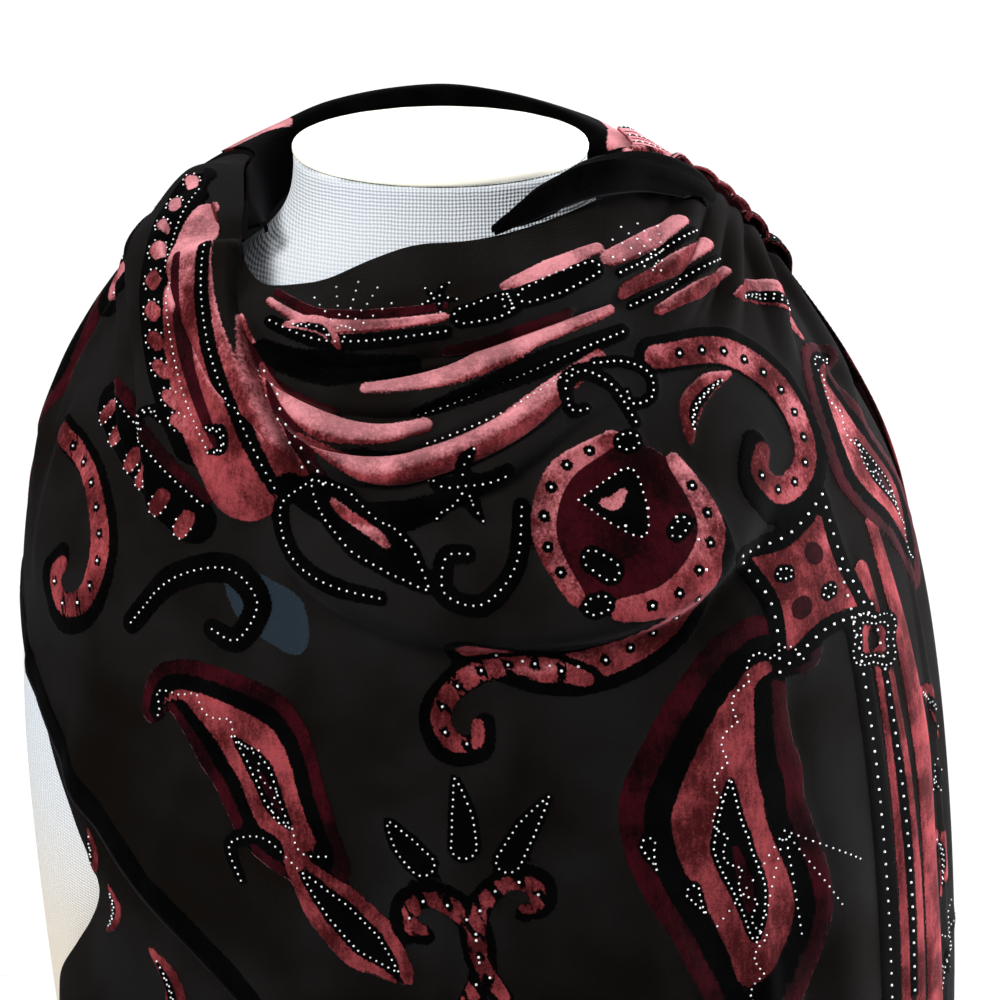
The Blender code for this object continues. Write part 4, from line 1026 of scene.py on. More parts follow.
# General motifs, in millimetres to the right and down from the middle
MOTIFS = {
    "paisley": (
        ("W", (10, 26, 30, 12, 6), "", (0, 62, 6, 30, 0, -12, 22, -52, 44, -44)),
        ("K", (6, 20, 23, 7, 3), "w", (0, 56, 6, 30, 0, -10, 22, -50, 42, -44)),
        ("R", (3, 13, 15, 3, 1), "", (0, 46, 6, 28, 0, -8, 18, -44, 34, -46)),
        ("K", (2, 6, 7, 1), "e", (4, 34, 5, 20, 2, 2, 6, -18)),
        ("W", (1, 2.4, 1), "", (4, 26, 4, 16, 3, 4)),
    ),
    "star": (
        ("K", (4, 3, 0.8), "c", (0, 0, -8, 2, -14, 0)),
        ("K", (4, 3, 0.8), "c", (0, 0, -2, -8, 2, -14)),
        ("K", (4, 3, 0.8), "c", (0, 0, 8, -2, 14, -4)),
        ("K", (4, 3, 0.8), "c", (0, 0, 4, 8, 8, 13)),
        ("K", (4, 3, 0.8), "c", (0, 0, -5, 8, -8, 14)),
    ),
    "scroll": (
        ("K", (7, 9, 8, 6), "", (-60, 10, -30, -12, 4, -14, 28, 4, 26, 26, 8, 30, 2, 16)),
        ("R", (4.4, 6, 5.4, 3.6), "d", (-58, 10, -30, -10, 4, -12, 24, 4, 22, 22, 9, 25, 6, 16)),
    ),
    "drops": (
        ("K", (5.4, 5, 2), "e", (-14, 6, -20, 0, -26, -8)),
        ("K", (5.6, 4.8, 1.6), "e", (0, 0, 0, -12, -2, -24)),
        ("K", (5.6, 4.8, 1.6), "e", (14, 6, 20, -4, 28, -14)),
    ),
    "leaf": (
        ("R", (1.0, 5.0, 6.0, 1.0), "", (-18, 6, -6, -2, 8, -4, 22, 4)),
        ("K", (0.8, 2.4, 2.6, 0.8), "e", (-12, 3, -2, -1, 8, -2, 16, 2)),
    ),
    "fan": (
        ("b", (1,), "f", (0, 8, -14, -4)), ("b", (1,), "f", (0, 8, -8, -9)),
        ("b", (1,), "f", (0, 8, 0, -11)), ("b", (1,), "f", (0, 8, 8, -9)),
        ("b", (1,), "f", (0, 8, 14, -4)),
    ),
    "window": (
        ("T", (4, 9, 10, 5), "", (-14, -4, -4, 0, 6, 2, 14, 8)),
    ),
    "pip": (
        ("K", (4.2, 3.0, 1.0), "e", (4, -6, 4, -2, 5, 4)),
        ("K", (4.2, 3.0, 1.0), "e", (16, 18, 17, 22, 19, 28)),
    ),
    "scallop": (
        ("K", (1.4, 2.8, 2.4, 1.0), "e", (4, -5, -3, -3, -4, 4, 3, 5)),
    ),
    "curl": (
        ("K", (3.4, 4.2, 4.0, 3.0), "c", (-22, 16, -14, -2, 0, -12, 12, -6, 10, 6, 2, 6)),
    ),
    "pod": (
        ("K", (2, 9, 10, 8, 2), "e", (-30, -10, -16, -6, 0, 0, 14, 6, 26, 14)),
        ("R", (1, 3, 1), "", (-18, -8, -4, -4, 8, 2)),
        ("K", (3, 4, 4, 3), "c", (-30, -10, -38, 6, -22, 20, 10, 20)),
    ),
    "block": (
        ("R", (), "", (-22, -20, 0, -16, 24, -22, 20, 0, 26, 22, 4, 18, -18, 24, -14, 2)),
        ("K", (3.4, 4, 3.4), "C", (-24, -22, 0, -18, 26, -24)),
        ("K", (3.4, 4, 3.4), "C", (26, -24, 22, 0, 28, 24)),
        ("K", (3.4, 4, 3.4), "C", (28, 24, 4, 20, -20, 26)),
        ("K", (3.4, 4, 3.4), "C", (-20, 26, -16, 2, -24, -22)),
        ("K", (3.4, 3.4), "e", (-8, -6, -5, -5)), ("K", (3.4, 3.4), "e", (9, 9, 12, 9)),
        ("W", (4, 4), "", (9, -7, 10, -6)), ("W", (4, 4), "", (-5, 9, -3, 9)),
    ),
    "medallion": (
        ("W", (), "", (-26, -14, -6, -26, 20, -20, 28, 2, 18, 24, -8, 28, -26, 14)),
        ("R", (3, 4.4, 4.4, 3), "d", (-24, 18, -28, -6, -14, -24, 10, -28)),
        ("R", (3, 5.4, 6, 4), "d", (28, -8, 26, 16, 6, 28, -12, 26)),
        ("K", (), "c", (-12, -12, 12, -14, 4, 8)),
        ("R", (1.2, 2.6, 1.2), "", (-4, -8, 0, -6, 5, -8)),
        ("K", (4.4, 4.4), "e", (-20, 22, -17, 22)), ("K", (4.4, 4.4), "e", (14, -24, 17, -23)),
        ("K", (4.6, 5), "e", (-15, 8, -11, 13)), ("K", (3.6, 3.6), "e", (14, 11, 18, 10)),
    ),
    "bud": (
        ("K", (2.4, 3.4, 3.4), "c", (-30, 6, -38, -6, -26, -16, -8, -10)),
        ("R", (3, 11, 12, 3), "", (-14, -14, 6, 0, 22, 12, 40, 24)),
        ("K", (2, 6, 6.4, 1.6), "e", (-8, -10, 8, 1, 22, 12, 36, 22)),
    ),
}
# Hidden sides: stretch, motif, turn, level, size, degrees turned, mirrored
HIDDEN_MOTIFS = (
    ("back", "paisley", 128, 8.20, 1.0, 8, 1), ("back", "paisley", 163, 7.70, 1.1, -6, 1),
    ("back", "paisley", 200, 7.30, 1.1, 6, -1), ("back", "paisley", 236, 6.50, 0.9, -6, -1),
    ("back", "scroll", 120, 6.10, 0.9, 20, 1), ("back", "scroll", 150, 5.50, 1.0, -15, -1),
    ("back", "scroll", 186, 5.10, 1.0, 12, 1), ("back", "scroll", 222, 4.60, 1.0, -18, -1),
    ("back", "flower", 142, 6.75, 1.0, 20, 1), ("back", "flower", 181, 6.20, 1.1, 40, 1),
    ("back", "flower", 217, 5.70, 1.0, 10, 1), ("back", "flower", 247, 4.60, 0.9, 30, 1),
    ("back", "star", 165, 4.30, 1.0, 10, 1), ("back", "star", 202, 3.90, 1.0, 40, -1),
    ("back", "star", 240, 3.40, 0.9, 0, 1), ("back", "star", 140, 4.40, 0.9, 70, 1),
    ("back", "bud", 182, 3.20, 0.9, 0, 1), ("back", "bud", 148, 3.30, 0.9, 20, -1),
    ("back", "bud", 216, 2.90, 0.9, -20, 1), ("back", "drops", 178, 8.90, 1.0, 0, 1),
    ("back", "drops", 214, 8.00, 1.0, 0, 1), ("back", "drops", 148, 9.40, 1.0, 0, -1),
    ("back", "drops", 250, 6.20, 0.9, 0, 1),
    ("toss", "flower", 102, 6.90, 0.9, 20, 1), ("toss", "paisley", 122, 5.60, 0.8, 0, 1),
    ("toss", "star", 107, 5.10, 0.9, 10, 1), ("toss", "bud", 136, 4.60, 0.8, 60, 1),
    ("toss", "flower", 147, 6.00, 0.8, 40, 1), ("toss", "drops", 113, 4.00, 0.8, 0, 1),
    ("front", "paisley", -88, 5.30, 0.8, 10, -1), ("front", "scroll", -92, 3.70, 0.8, -40, 1),
    ("front", "flower", -96, 2.50, 0.8, 0, 1), ("front", "flower", 78, 9.70, 0.9, 15, 1),
    ("front", "star", 79, 8.90, 0.8, 20, 1),
    ("under", "star", -38, 9.40, 0.9, 10, 1), ("under", "flower", -24, 9.50, 0.9, 10, 1),
)
HEM_BORDER = 6.5


def linear(code, alpha=None):
    """An sRGB hex colour as linear values."""
    parts = [int(code[index:index + 2], 16) / 255.0 for index in (1, 3, 5)]
    values = [part / 12.92 if part <= 0.04045 else ((part + 0.055) / 1.055) ** 2.4 for part in parts]
    return (*values, 1.0)


def add_node(tree, kind, values=None, links=None, **settings):
    """One shader node with its settings, values and incoming links."""
    node = tree.nodes.new(kind)
    for key, value in settings.items():
        setattr(node, key, value)
    for key, value in (values or {}).items():
        node.inputs[key].default_value = value
    for key, source in (links or {}).items():
        tree.links.new(source, node.inputs[key])
    return node


def new_material(name):
    material = bpy.data.materials.new(name)
    material.use_nodes = True
    tree = material.node_tree
    return material, tree, tree.nodes["Principled BSDF"]


def soft_mask(tree, value, low, high):
    mask = add_node(tree, "ShaderNodeMapRange", {1: low, 2: high, 3: 0.0, 4: 1.0}, {0: value}, interpolation_type="SMOOTHSTEP")
    return mask.outputs[0]


def mixed(tree, share, first, second):
    """A mix of two colours; each is a hex colour or a socket."""
    node = add_node(tree, "ShaderNodeMix", {}, {0: share}, data_type="RGBA")
    for socket, colour in ((6, first), (7, second)):
        if isinstance(colour, str):
            node.inputs[socket].default_value = linear(colour)
        else:
            tree.links.new(colour, node.inputs[socket])
    return node.outputs[2]


def noise(tree, place, scale, detail=3.0, roughness=0.55):
    node = add_node(
        tree,
        "ShaderNodeTexNoise",
        {"Scale": scale, "Detail": detail, "Roughness": roughness},
        {"Vector": place},
    )
    return node.outputs[0]


def burnout_velvet(name, sheen, tint, rough, chiffon_alpha, thin_alpha):
    """Silk burnout velvet: a pile of silk left on sheer chiffon where the figure stands.

    The pile drinks light face on and glows at grazing angles, so it has a sheen and a deep
    base; brushing leaves paler patches in the rose dye. Rose pile that faces upwards is
    lightened further with a painted highlight. The burnt-out chiffon is thin, dark and a
    little see-through.
    """
    material, tree, shader = new_material(name)
    place = add_node(tree, "ShaderNodeTexCoord").outputs["Object"]
    figure = {
        title: add_node(tree, "ShaderNodeAttribute", attribute_name=title).outputs["Fac"]
        for title in ("velvet", "rose", "wine", "thin")
    }
    fray = noise(tree, place, 900.0, 2.0)
    fray = add_node(tree, "ShaderNodeMath", {1: 1.5, 2: -0.75}, {0: fray}, operation="MULTIPLY_ADD").outputs[0]
    masks = {}
    for title, value in figure.items():
        frayed = add_node(tree, "ShaderNodeMath", {}, {0: value, 1: fray}, operation="ADD").outputs[0]
        masks[title] = soft_mask(tree, frayed, -0.25, 0.25)
    brushed = soft_mask(tree, noise(tree, place, 48.0, 3.0), 0.24, 0.80)
    nap = noise(tree, place, 1000.0, 2.0, 0.7)
    lying = add_node(tree, "ShaderNodeMapping", {"Scale": (1.0, 1.0, 0.22), "Rotation": (0.0, 0.35, 0.0)}, {"Vector": place}).outputs[0]
    streaks = soft_mask(tree, noise(tree, lying, 520.0, 3.0, 0.65), 0.30, 0.75)
    light = add_node(tree, "ShaderNodeMath", {1: 0.30}, {0: streaks, 2: brushed}, operation="MULTIPLY_ADD").outputs[0]
    light = add_node(tree, "ShaderNodeMath", {1: 0.95}, {0: nap, 2: light}, operation="MULTIPLY_ADD").outputs[0]
    light = soft_mask(tree, light, 0.62, 1.72)
    # painted highlight: rose pile whose normal points up is mixed towards pale pink, with a little of the random nap
    # tone
    facing = add_node(tree, "ShaderNodeNewGeometry").outputs["Normal"]
    upward = add_node(tree, "ShaderNodeSeparateXYZ", {}, {0: facing}).outputs["Z"]
    upward = add_node(tree, "ShaderNodeMath", {1: 0.35}, {0: light, 2: upward}, operation="MULTIPLY_ADD").outputs[0]
    painted_highlight = soft_mask(tree, upward, 0.52, 1.36)
    rose = mixed(tree, light, ROSE_DEEP, ROSE_PALE)
    rose = mixed(tree, painted_highlight, rose, ROSE_PAINTED_HIGHLIGHT)
    wine = mixed(tree, light, WINE_DEEP, WINE_LIGHT)
    black = mixed(tree, light, BLACK_DEEP, BLACK_LIGHT)
    pile = mixed(tree, masks["rose"], black, rose)
    pile = mixed(tree, masks["wine"], pile, wine)
    drift = soft_mask(tree, noise(tree, place, 14.0, 3.0), 0.35, 0.7)
    crepe = noise(tree, place, 1500.0, 1.0)
    chiffon = mixed(tree, drift, CHIFFON_WARM, CHIFFON_COOL)
    chiffon = mixed(tree, masks["thin"], chiffon, CHIFFON_THIN)
    colour = mixed(tree, masks["velvet"], chiffon, pile)
    tree.links.new(colour, shader.inputs["Base Color"])
    sheer = add_node(tree, "ShaderNodeMapRange", {1: 0.0, 2: 1.0, 3: chiffon_alpha, 4: thin_alpha}, {0: masks["thin"]}).outputs[0]
    solid = add_node(tree, "ShaderNodeMath", {}, {0: sheer, 1: masks["velvet"]}, operation="MAXIMUM").outputs[0]
    tree.links.new(solid, shader.inputs["Alpha"])
    shader.inputs["Roughness"].default_value = rough
    shader.inputs["Specular IOR Level"].default_value = 0.02
    shader.inputs["Sheen Weight"].default_value = sheen
    shader.inputs["Sheen Roughness"].default_value = 0.32
    shader.inputs["Sheen Tint"].default_value = linear(tint)
    height = add_node(tree, "ShaderNodeMath", {1: 0.35}, {0: nap, 2: masks["velvet"]}, operation="MULTIPLY_ADD").outputs[0]
    height = add_node(tree, "ShaderNodeMath", {1: 0.12}, {0: crepe, 2: height}, operation="MULTIPLY_ADD").outputs[0]
    bump = add_node(tree, "ShaderNodeBump", {"Strength": 0.7, "Distance": 0.0006}, {"Height": height})
    tree.links.new(bump.outputs[0], shader.inputs["Normal"])
    return material


ROSE_DEEP = "#350c0e"
ROSE_PALE = "#88393d"
# pale pink of the painted highlight on upward-facing rose pile
ROSE_PAINTED_HIGHLIGHT = "#d08a92"
WINE_DEEP = "#0a0102"
WINE_LIGHT = "#2f060d"
BLACK_DEEP = "#000000"
BLACK_LIGHT = "#030303"
CHIFFON_WARM = "#0b0806"
CHIFFON_COOL = "#171616"
CHIFFON_THIN = "#222b33"


def woven_linen():
    """Bleached linen stretched over the form: a plain weave whose threads show as fine lines."""
    material, tree, shader = new_material("bleached_linen_woven")
    place = add_node(tree, "ShaderNodeTexCoord").outputs["Object"]
    slub = noise(tree, place, 90.0, 3.0)
    split = add_node(tree, "ShaderNodeSeparateXYZ", {}, {0: place}).outputs
    # threads are drawn 1.3 mm apart, coarser than real, so that they show
    thread = 2.0 * math.pi / 0.0013
    waves = []
    for axis in ("X", "Z"):
        turned = add_node(tree, "ShaderNodeMath", {1: thread}, {0: split[axis]}, operation="MULTIPLY").outputs[0]
        wander = add_node(tree, "ShaderNodeMath", {1: 5.0}, {0: slub, 2: turned}, operation="MULTIPLY_ADD").outputs[0]
        waves.append(add_node(tree, "ShaderNodeMath", {}, {0: wander}, operation="SINE").outputs[0])
    weave = add_node(tree, "ShaderNodeMath", {}, {0: waves[0], 1: waves[1]}, operation="ADD").outputs[0]
    shade = soft_mask(tree, weave, -2.0, 1.2)
    colour = mixed(tree, shade, "#a8b0b9", "#c8cdd3")
    warm = soft_mask(tree, split["Z"], 0.36, 0.20)
    colour = mixed(tree, warm, colour, "#d3c4ae")
    tree.links.new(colour, shader.inputs["Base Color"])
    shader.inputs["Roughness"].default_value = 0.9
    shader.inputs["Sheen Weight"].default_value = 0.15
    bump = add_node(tree, "ShaderNodeBump", {"Strength": 0.5, "Distance": 0.0003}, {"Height": weave})
    tree.links.new(bump.outputs[0], shader.inputs["Normal"])
    return material


def cream_lacquer():
    """Sprayed cream lacquer on the wooden cap: smooth, with a soft low gloss."""
    material, tree, shader = new_material("cream_lacquer_sprayed")
    place = add_node(tree, "ShaderNodeTexCoord").outputs["Object"]
    cloud = soft_mask(tree, noise(tree, place, 22.0, 2.0), 0.3, 0.7)
    colour = mixed(tree, cloud, "#fbf6e4", "#fffdf0")
    tree.links.new(colour, shader.inputs["Base Color"])
    shader.inputs["Roughness"].default_value = 0.42
    peel = add_node(tree, "ShaderNodeBump", {"Strength": 0.08, "Distance": 0.0002}, {"Height": noise(tree, place, 700.0, 1.0)})
    tree.links.new(peel.outputs[0], shader.inputs["Normal"])
    return material


def silver_glass():
    """Silvered glass seed beads: tiny, pale and glossy, a little uneven in tone."""
    material, tree, shader = new_material("silver_glass_beads")
    place = add_node(tree, "ShaderNodeTexCoord").outputs["Object"]
    tone = soft_mask(tree, noise(tree, place, 260.0, 1.0), 0.3, 0.7)
    colour = mixed(tree, tone, "#b9babd", "#f2f2f2")
    tree.links.new(colour, shader.inputs["Base Color"])
    shader.inputs["Roughness"].default_value = 0.22
    shader.inputs["Metallic"].default_value = 0.15
    shader.inputs["Specular IOR Level"].default_value = 0.8
    return material


def pale_table():
    """Matt white laminate for the table under the form."""
    material, tree, shader = new_material("white_laminate_matt")
    place = add_node(tree, "ShaderNodeTexCoord").outputs["Object"]
    tone = soft_mask(tree, noise(tree, place, 3.0, 2.0), 0.3, 0.7)
    tree.links.new(mixed(tree, tone, "#bfc7cf", "#c9d0d6"), shader.inputs["Base Color"])
    shader.inputs["Roughness"].default_value = 0.6
    return material


FRONT_FINE = (292, 270)
NECK_FINE = (300, 40)
TOSS_FINE = (170, 200)
ROLL_FINE = (200, 30)
UNDER_FINE = (100, 120)
BACK_FINE = (230, 210)


SOLID_CLOTH = 0.0012
FINE_TOP_SHARE = 0.12
FINE_TOP_LENGTH = 0.55
OVAL_REACH = 3.1
LOBE_DEPTH = 0.17
FLOWER_ACROSS = 1.8
FLOWER_DOWN = 2.2


def surface_tree(node):
    """A search tree of a CAD node's surface."""
    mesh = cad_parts[node].data
    points = [vertex.co.copy() for vertex in mesh.vertices]
    faces = [tuple(polygon.vertices) for polygon in mesh.polygons]
    return BVHTree.FromPolygons(points, faces)


def drape_stretch(name, cells, grid, folds, trees, gap, extra=None):
    """A stretch whose places are turns and levels of the drape."""
    across, down = unit_grid(cells)
    turn, level = grid(across, down)
    flat = drape_points(turn, level)
    folded, normals = fold_shift(turn, level, folds)
    if extra is not None:
        folded = extra(folded, normals, across, down)
    folded = clear_of(folded, trees, gap)
    stretch = Stretch(name, cells, turn, level, flat, folded)
    stretch.flat_of = drape_points
    stretch.steps = (0.2, 0.01)
    return stretch


def gathered(folded, normals, across, down):
    """The tossed end's gathers, raised between its two sides."""
    gather = np.zeros(len(folded))
    for centre, height, spread in TOSS_GATHERS:
        share = np.clip(np.abs(across - centre) / spread, 0.0, 1.0)
        gather = gather + height * (1.0 - share ** 2) ** 2
    gather = gather * (FINE_TOP_SHARE + (1.0 - FINE_TOP_SHARE) * smooth_step(down / FINE_TOP_LENGTH))
    return folded + normals * (gather * MILLIMETRE)[:, None]


def rumpled(points, around, along):
    """Soft creases along the rolled border."""
    lift = np.zeros(len(points))
    for centre, slope, spread, height in ROLL_CREASES:
        share = np.clip(np.abs(around - centre - slope * (along - 0.5)) / spread, 0.0, 1.0)
        lift = lift + height * (1.0 - share ** 2) ** 2
    lift = lift * smooth_step(along / 0.2) * smooth_step((1.0 - along) / 0.2)
    return points + grid_normals(points, (ROLL_FINE[1], ROLL_FINE[0])) * (lift * MILLIMETRE)[:, None]


# Creases on the roll: where round it, how they wander, half width, height in millimetres
ROLL_CREASES = (
    (0.26, 0.34, 0.09, 1.5),
    (0.40, -0.30, 0.07, 1.1),
    (0.52, 0.22, 0.08, 1.7),
    (0.66, -0.26, 0.07, 1.2),
    (0.80, 0.30, 0.08, 1.5),
)


def dropped(folded, normals, across, down):
    return folded - normals * UNDER_DROP * MILLIMETRE


def add_camera():
    data = bpy.data.cameras.new("camera")
    data.sensor_width = CAMERA_SENSOR
    data.lens = CAMERA_LENS
    data.clip_start = 0.05
    camera = bpy.data.objects.new("camera", data)
    camera.location = CAMERA_PLACE
    camera.rotation_euler = (math.radians(CAMERA_PITCH), 0.0, 0.0)
    bpy.context.scene.collection.objects.link(camera)
    bpy.context.scene.camera = camera


def add_area(name, place, target, size, power, colour):
    data = bpy.data.lights.new(name, "AREA")
    data.shape = "RECTANGLE"
    data.size, data.size_y = size
    data.energy = power
    data.color = colour
    light = bpy.data.objects.new(name, data)
    light.location = place
    aim = Vector(target) - Vector(place)
    light.rotation_euler = aim.to_track_quat("-Z", "Y").to_euler()
    bpy.context.scene.collection.objects.link(light)


def set_studio():
    world = bpy.data.worlds.new("studio")
    bpy.context.scene.world = world
    world.use_nodes = True
    tree = world.node_tree
    shade = tree.nodes["Background"]
    shade.inputs["Color"].default_value = (1.0, 1.0, 1.0, 1.0)
    seen = add_node(tree, "ShaderNodeLightPath").outputs["Is Camera Ray"]
    strength = add_node(tree, "ShaderNodeMapRange", {1: 0.0, 2: 1.0, 3: 0.42, 4: 1.05}, {0: seen})
    tree.links.new(strength.outputs[0], shade.inputs["Strength"])
    bpy.context.scene.view_settings.view_transform = "Standard"
    bpy.context.scene.view_settings.look = "None"
    add_area("key", (-0.9, -1.1, 1.6), (0.0, 0.0, 0.3), (0.6, 0.6), 42.0, (1.0, 0.985, 0.96))
    add_area("side", (1.3, 0.30, 0.5), (0.0, 0.0, 0.3), (0.5, 0.9), 56.0, (0.97, 0.98, 1.0))
    add_area("back", (0.1, 1.2, 1.4), (0.0, 0.0, 0.35), (0.9, 0.6), 12.0, (0.97, 0.98, 1.0))
    deselect()
    bpy.ops.mesh.primitive_cube_add(size=1.0, location=(0.0, -1.32, -0.015), scale=(5.0, 3.36, 0.03))
    table = bpy.context.object
    table.name = "table"
    bpy.ops.object.transform_apply(location=True, rotation=True, scale=True)
    bevel = table.modifiers.new("edge", "BEVEL")
    bevel.width = 0.003
    bevel.segments = 3
    bpy.ops.object.modifier_apply(modifier=bevel.name)
    table.data.materials.append(pale_table())
    table.data.name = "table"


def deselect():
    for item in bpy.context.selected_objects:
        item.select_set(False)


def smooth_copy(node, name, material, levels, crease_degrees):
    """A smooth copy of a rigid CAD solid."""
    deselect()
    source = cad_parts[node]
    mesh = source.data.copy()
    mesh.name = name
    mesh.materials.clear()
    item = bpy.data.objects.new(name, mesh)
    bpy.context.scene.collection.objects.link(item)
    bpy.context.view_layer.objects.active = item
    item.select_set(True)
    bpy.ops.object.mode_set(mode="EDIT")
    bpy.ops.mesh.select_all(action="SELECT")
    bpy.ops.mesh.remove_doubles(threshold=0.00001)
    bpy.ops.mesh.tris_convert_to_quads()
    bpy.ops.mesh.select_all(action="DESELECT")
    bpy.ops.mesh.edges_select_sharp(sharpness=math.radians(crease_degrees))
    bpy.ops.transform.edge_crease(value=1.0)
    bpy.ops.object.mode_set(mode="OBJECT")
    rounder = item.modifiers.new("rounding", "SUBSURF")
    rounder.levels = levels
    rounder.render_levels = levels
    bpy.ops.object.modifier_apply(modifier=rounder.name)
    bpy.ops.object.shade_smooth_by_angle(angle=math.radians(50.0))
    item.data.materials.append(material)
    return item


BEAD_SIDES = 6
BEAD_RINGS = ((0.80, -0.25), (1.0, 0.25), (0.62, 0.85))
BEAD_TOP = 1.05


def bead_shape():
    """One seed bead as a low dome: its points and faces."""
    points = []
    for share, height in BEAD_RINGS:
        for side in range(BEAD_SIDES):
            angle = 2.0 * math.pi * side / BEAD_SIDES
            points.append((share * math.cos(angle), share * math.sin(angle), height))
    points.append((0.0, 0.0, BEAD_TOP))
    points.append((0.0, 0.0, BEAD_RINGS[0][1]))
    faces = []
    for ring in range(len(BEAD_RINGS) - 1):
        for side in range(BEAD_SIDES):
            after = (side + 1) % BEAD_SIDES
            low = ring * BEAD_SIDES
            faces.append((low + side, low + after, low + BEAD_SIDES + after))
            faces.append((low + side, low + BEAD_SIDES + after, low + BEAD_SIDES + side))
    last = (len(BEAD_RINGS) - 1) * BEAD_SIDES
    top = len(BEAD_RINGS) * BEAD_SIDES
    for side in range(BEAD_SIDES):
        after = (side + 1) % BEAD_SIDES
        faces.append((last + side, last + after, top))
        faces.append((after, side, top + 1))
    return np.asarray(points), np.asarray(faces)


def add_beads(stretch, name, material):
    """All the beads sewn on one stretch, each set on the pile and square to it."""
    shape, faces = bead_shape()
    pile = smooth_step((stretch.velvet + PILE_EDGE * 0.5) / PILE_EDGE) * PILE_HEIGHT
    skin = stretch.folded + stretch.normals * (SHEET_OUTER + pile)[:, None]
    taken = set()
    centres = []
    ups = []
    radii = []
    for place, size in stretch.beads:
        hit, _, face, far = stretch.flat_tree.find_nearest(Vector(place))
        if hit is None or far > 0.0015:
            continue
        share = stretch.shares(stretch.flat, face, hit)
        centre = stretch.read(skin, face, share)
        cell = tuple(np.round(centre / 0.0013).astype(int))
        if cell in taken:
            continue
        taken.add(cell)
        centres.append(centre)
        radii.append(size * MILLIMETRE)
        ups.append(stretch.read(stretch.normals, face, share))
    if not centres:
        return None
    centres = np.asarray(centres)
    ups = np.asarray(ups)
    ups = ups / np.linalg.norm(ups, axis=1)[:, None]
    helper = np.where(np.abs(ups[:, 2:3]) > 0.9, (1.0, 0.0, 0.0), (0.0, 0.0, 1.0))
    ones = np.cross(helper, ups)
    ones = ones / np.linalg.norm(ones, axis=1)[:, None]
    twos = np.cross(ups, ones)
    radius = np.asarray(radii)[:, None, None]
    whole = (
        centres[:, None, :]
        + ones[:, None, :] * shape[None, :, 0:1] * radius
        + twos[:, None, :] * shape[None, :, 1:2] * radius
        + ups[:, None, :] * shape[None, :, 2:3] * radius
    ).reshape(-1, 3)
    shifts = (np.arange(len(centres)) * len(shape))[:, None, None]
    triangles = (faces[None, :, :] + shifts).reshape(-1, 3)
    mesh = mesh_of(name, whole, np.zeros((0, 4), dtype=int), triangles)
    return add_piece(name, mesh, [material])


def oval(stretch, centre, half, width, upright):
    """A rose oval of the scalloped band with its horseshoe of beads, in millimetres."""
    def spot(along, aside):
        right, down = (aside, along) if upright else (-along, aside)
        return beside(stretch, centre, right, down)
    draw(stretch, "R", (width, width), "", [spot(-half, 0.0), spot(half, 0.0)])
    around = []
    for angle in range(0, 181, 30):
        radians = math.radians(angle)
        around.append(spot(math.sin(radians) * (half + OVAL_REACH), math.cos(radians) * OVAL_REACH))
    sew(stretch, flat_places(stretch, smooth_line(around)), BEAD_SPACING, SMALL_BEAD)


def lobed_flower(stretch, spot_of, size):
    """A flower of four lobes: black with two rings of beads, rose within, open in the middle."""
    rings = {}
    for title, reach in (("black", 14.0), ("outer", 12.4), ("inner", 8.4), ("rose", 7.0)):
        pairs = []
        for degrees in range(0, 360, 15):
            angle = math.radians(degrees)
            far = reach * size * (1.0 - LOBE_DEPTH * math.cos(4.0 * angle))
            pairs.append(spot_of(far * math.cos(angle), far * math.sin(angle)))
        rings[title] = pairs
    draw(stretch, "K", (), "", rings["black"], closed=True)
    draw(stretch, "R", (), "", rings["rose"], closed=True)
    for title in ("outer", "inner"):
        pairs = rings[title] + rings[title][:1]
        sew(stretch, flat_places(stretch, smooth_line(pairs)), BEAD_SPACING, SMALL_BEAD)
    dot = [spot_of(-0.2, 0.0), spot_of(0.2, 0.0)]
    draw(stretch, "K", (3.6 * size, 3.6 * size), "", dot)
    draw(stretch, "S", (2.8 * size, 2.8 * size), "", dot)


def comma(stretch, centre, size):
    """A curled black comma with beads round its edge."""
    course = [(1.6, -7.0), (-1.6, -4.0), (-2.0, 0.6), (-0.6, 4.4), (3.0, 4.6), (4.0, 2.0)]
    pairs = [beside(stretch, centre, right * size, down * size) for right, down in course]
    draw(stretch, "K", (1.8 * size, 2.9 * size, 3.2 * size, 3.0 * size, 2.4 * size, 1.2 * size), "e", pairs)


def motif(stretch, title, turn, level, size, degrees, mirrored):
    """One general motif laid on the cloth at a place, a size and a turn."""
    if title == "flower":
        lobed_flower(stretch, lambda right, down: beside(stretch, (turn, level), right, down), size)
        return
    cosine = math.cos(math.radians(degrees)) * size
    sine = math.sin(math.radians(degrees)) * size
    for finish, widths, beads, numbers in MOTIFS[title]:
        points = np.asarray(numbers, dtype=float).reshape(-1, 2)
        pairs = []
        for right, down in points:
            right = right * mirrored
            pairs.append(beside(
                stretch,
                (turn, level),
                right * cosine - down * sine,
                right * sine + down * cosine,
            ))
        scaled = tuple(width * size for width in widths)
        draw(stretch, finish, scaled or (1.0,), beads, pairs, closed=not widths)


def hem_band(stretch, pairs, width, bead_inset):
    draw(stretch, "K", (width, width), "", pairs)
    if bead_inset:
        inner = [beside(stretch, pair, 0.0, -bead_inset) for pair in pairs]
        line = flat_places(stretch, smooth_line(inner))
        sew(stretch, line, WIDE_SPACING, SMALL_BEAD)


def line_beside(stretch, title, count, first, last, right, down):
    """Even places beside one of the cloth's own lines, between two shares of its length."""
    line = path_spline(BAND_PATHS[title], PATH_STEPS)
    steps = np.linspace(first, last, count) * (len(line) - 1)
    return [beside(stretch, tuple(line[int(round(step))]), right, down) for step in steps]


def lay_motifs(stretch, motifs):
    """Lays general motifs at the places in the picture where their middles stand."""
    for title, column, row, size, degrees, mirrored in motifs:
        turn, level = stretch.seen(column, row)
        motif(stretch, title, turn, level, size, degrees, mirrored)


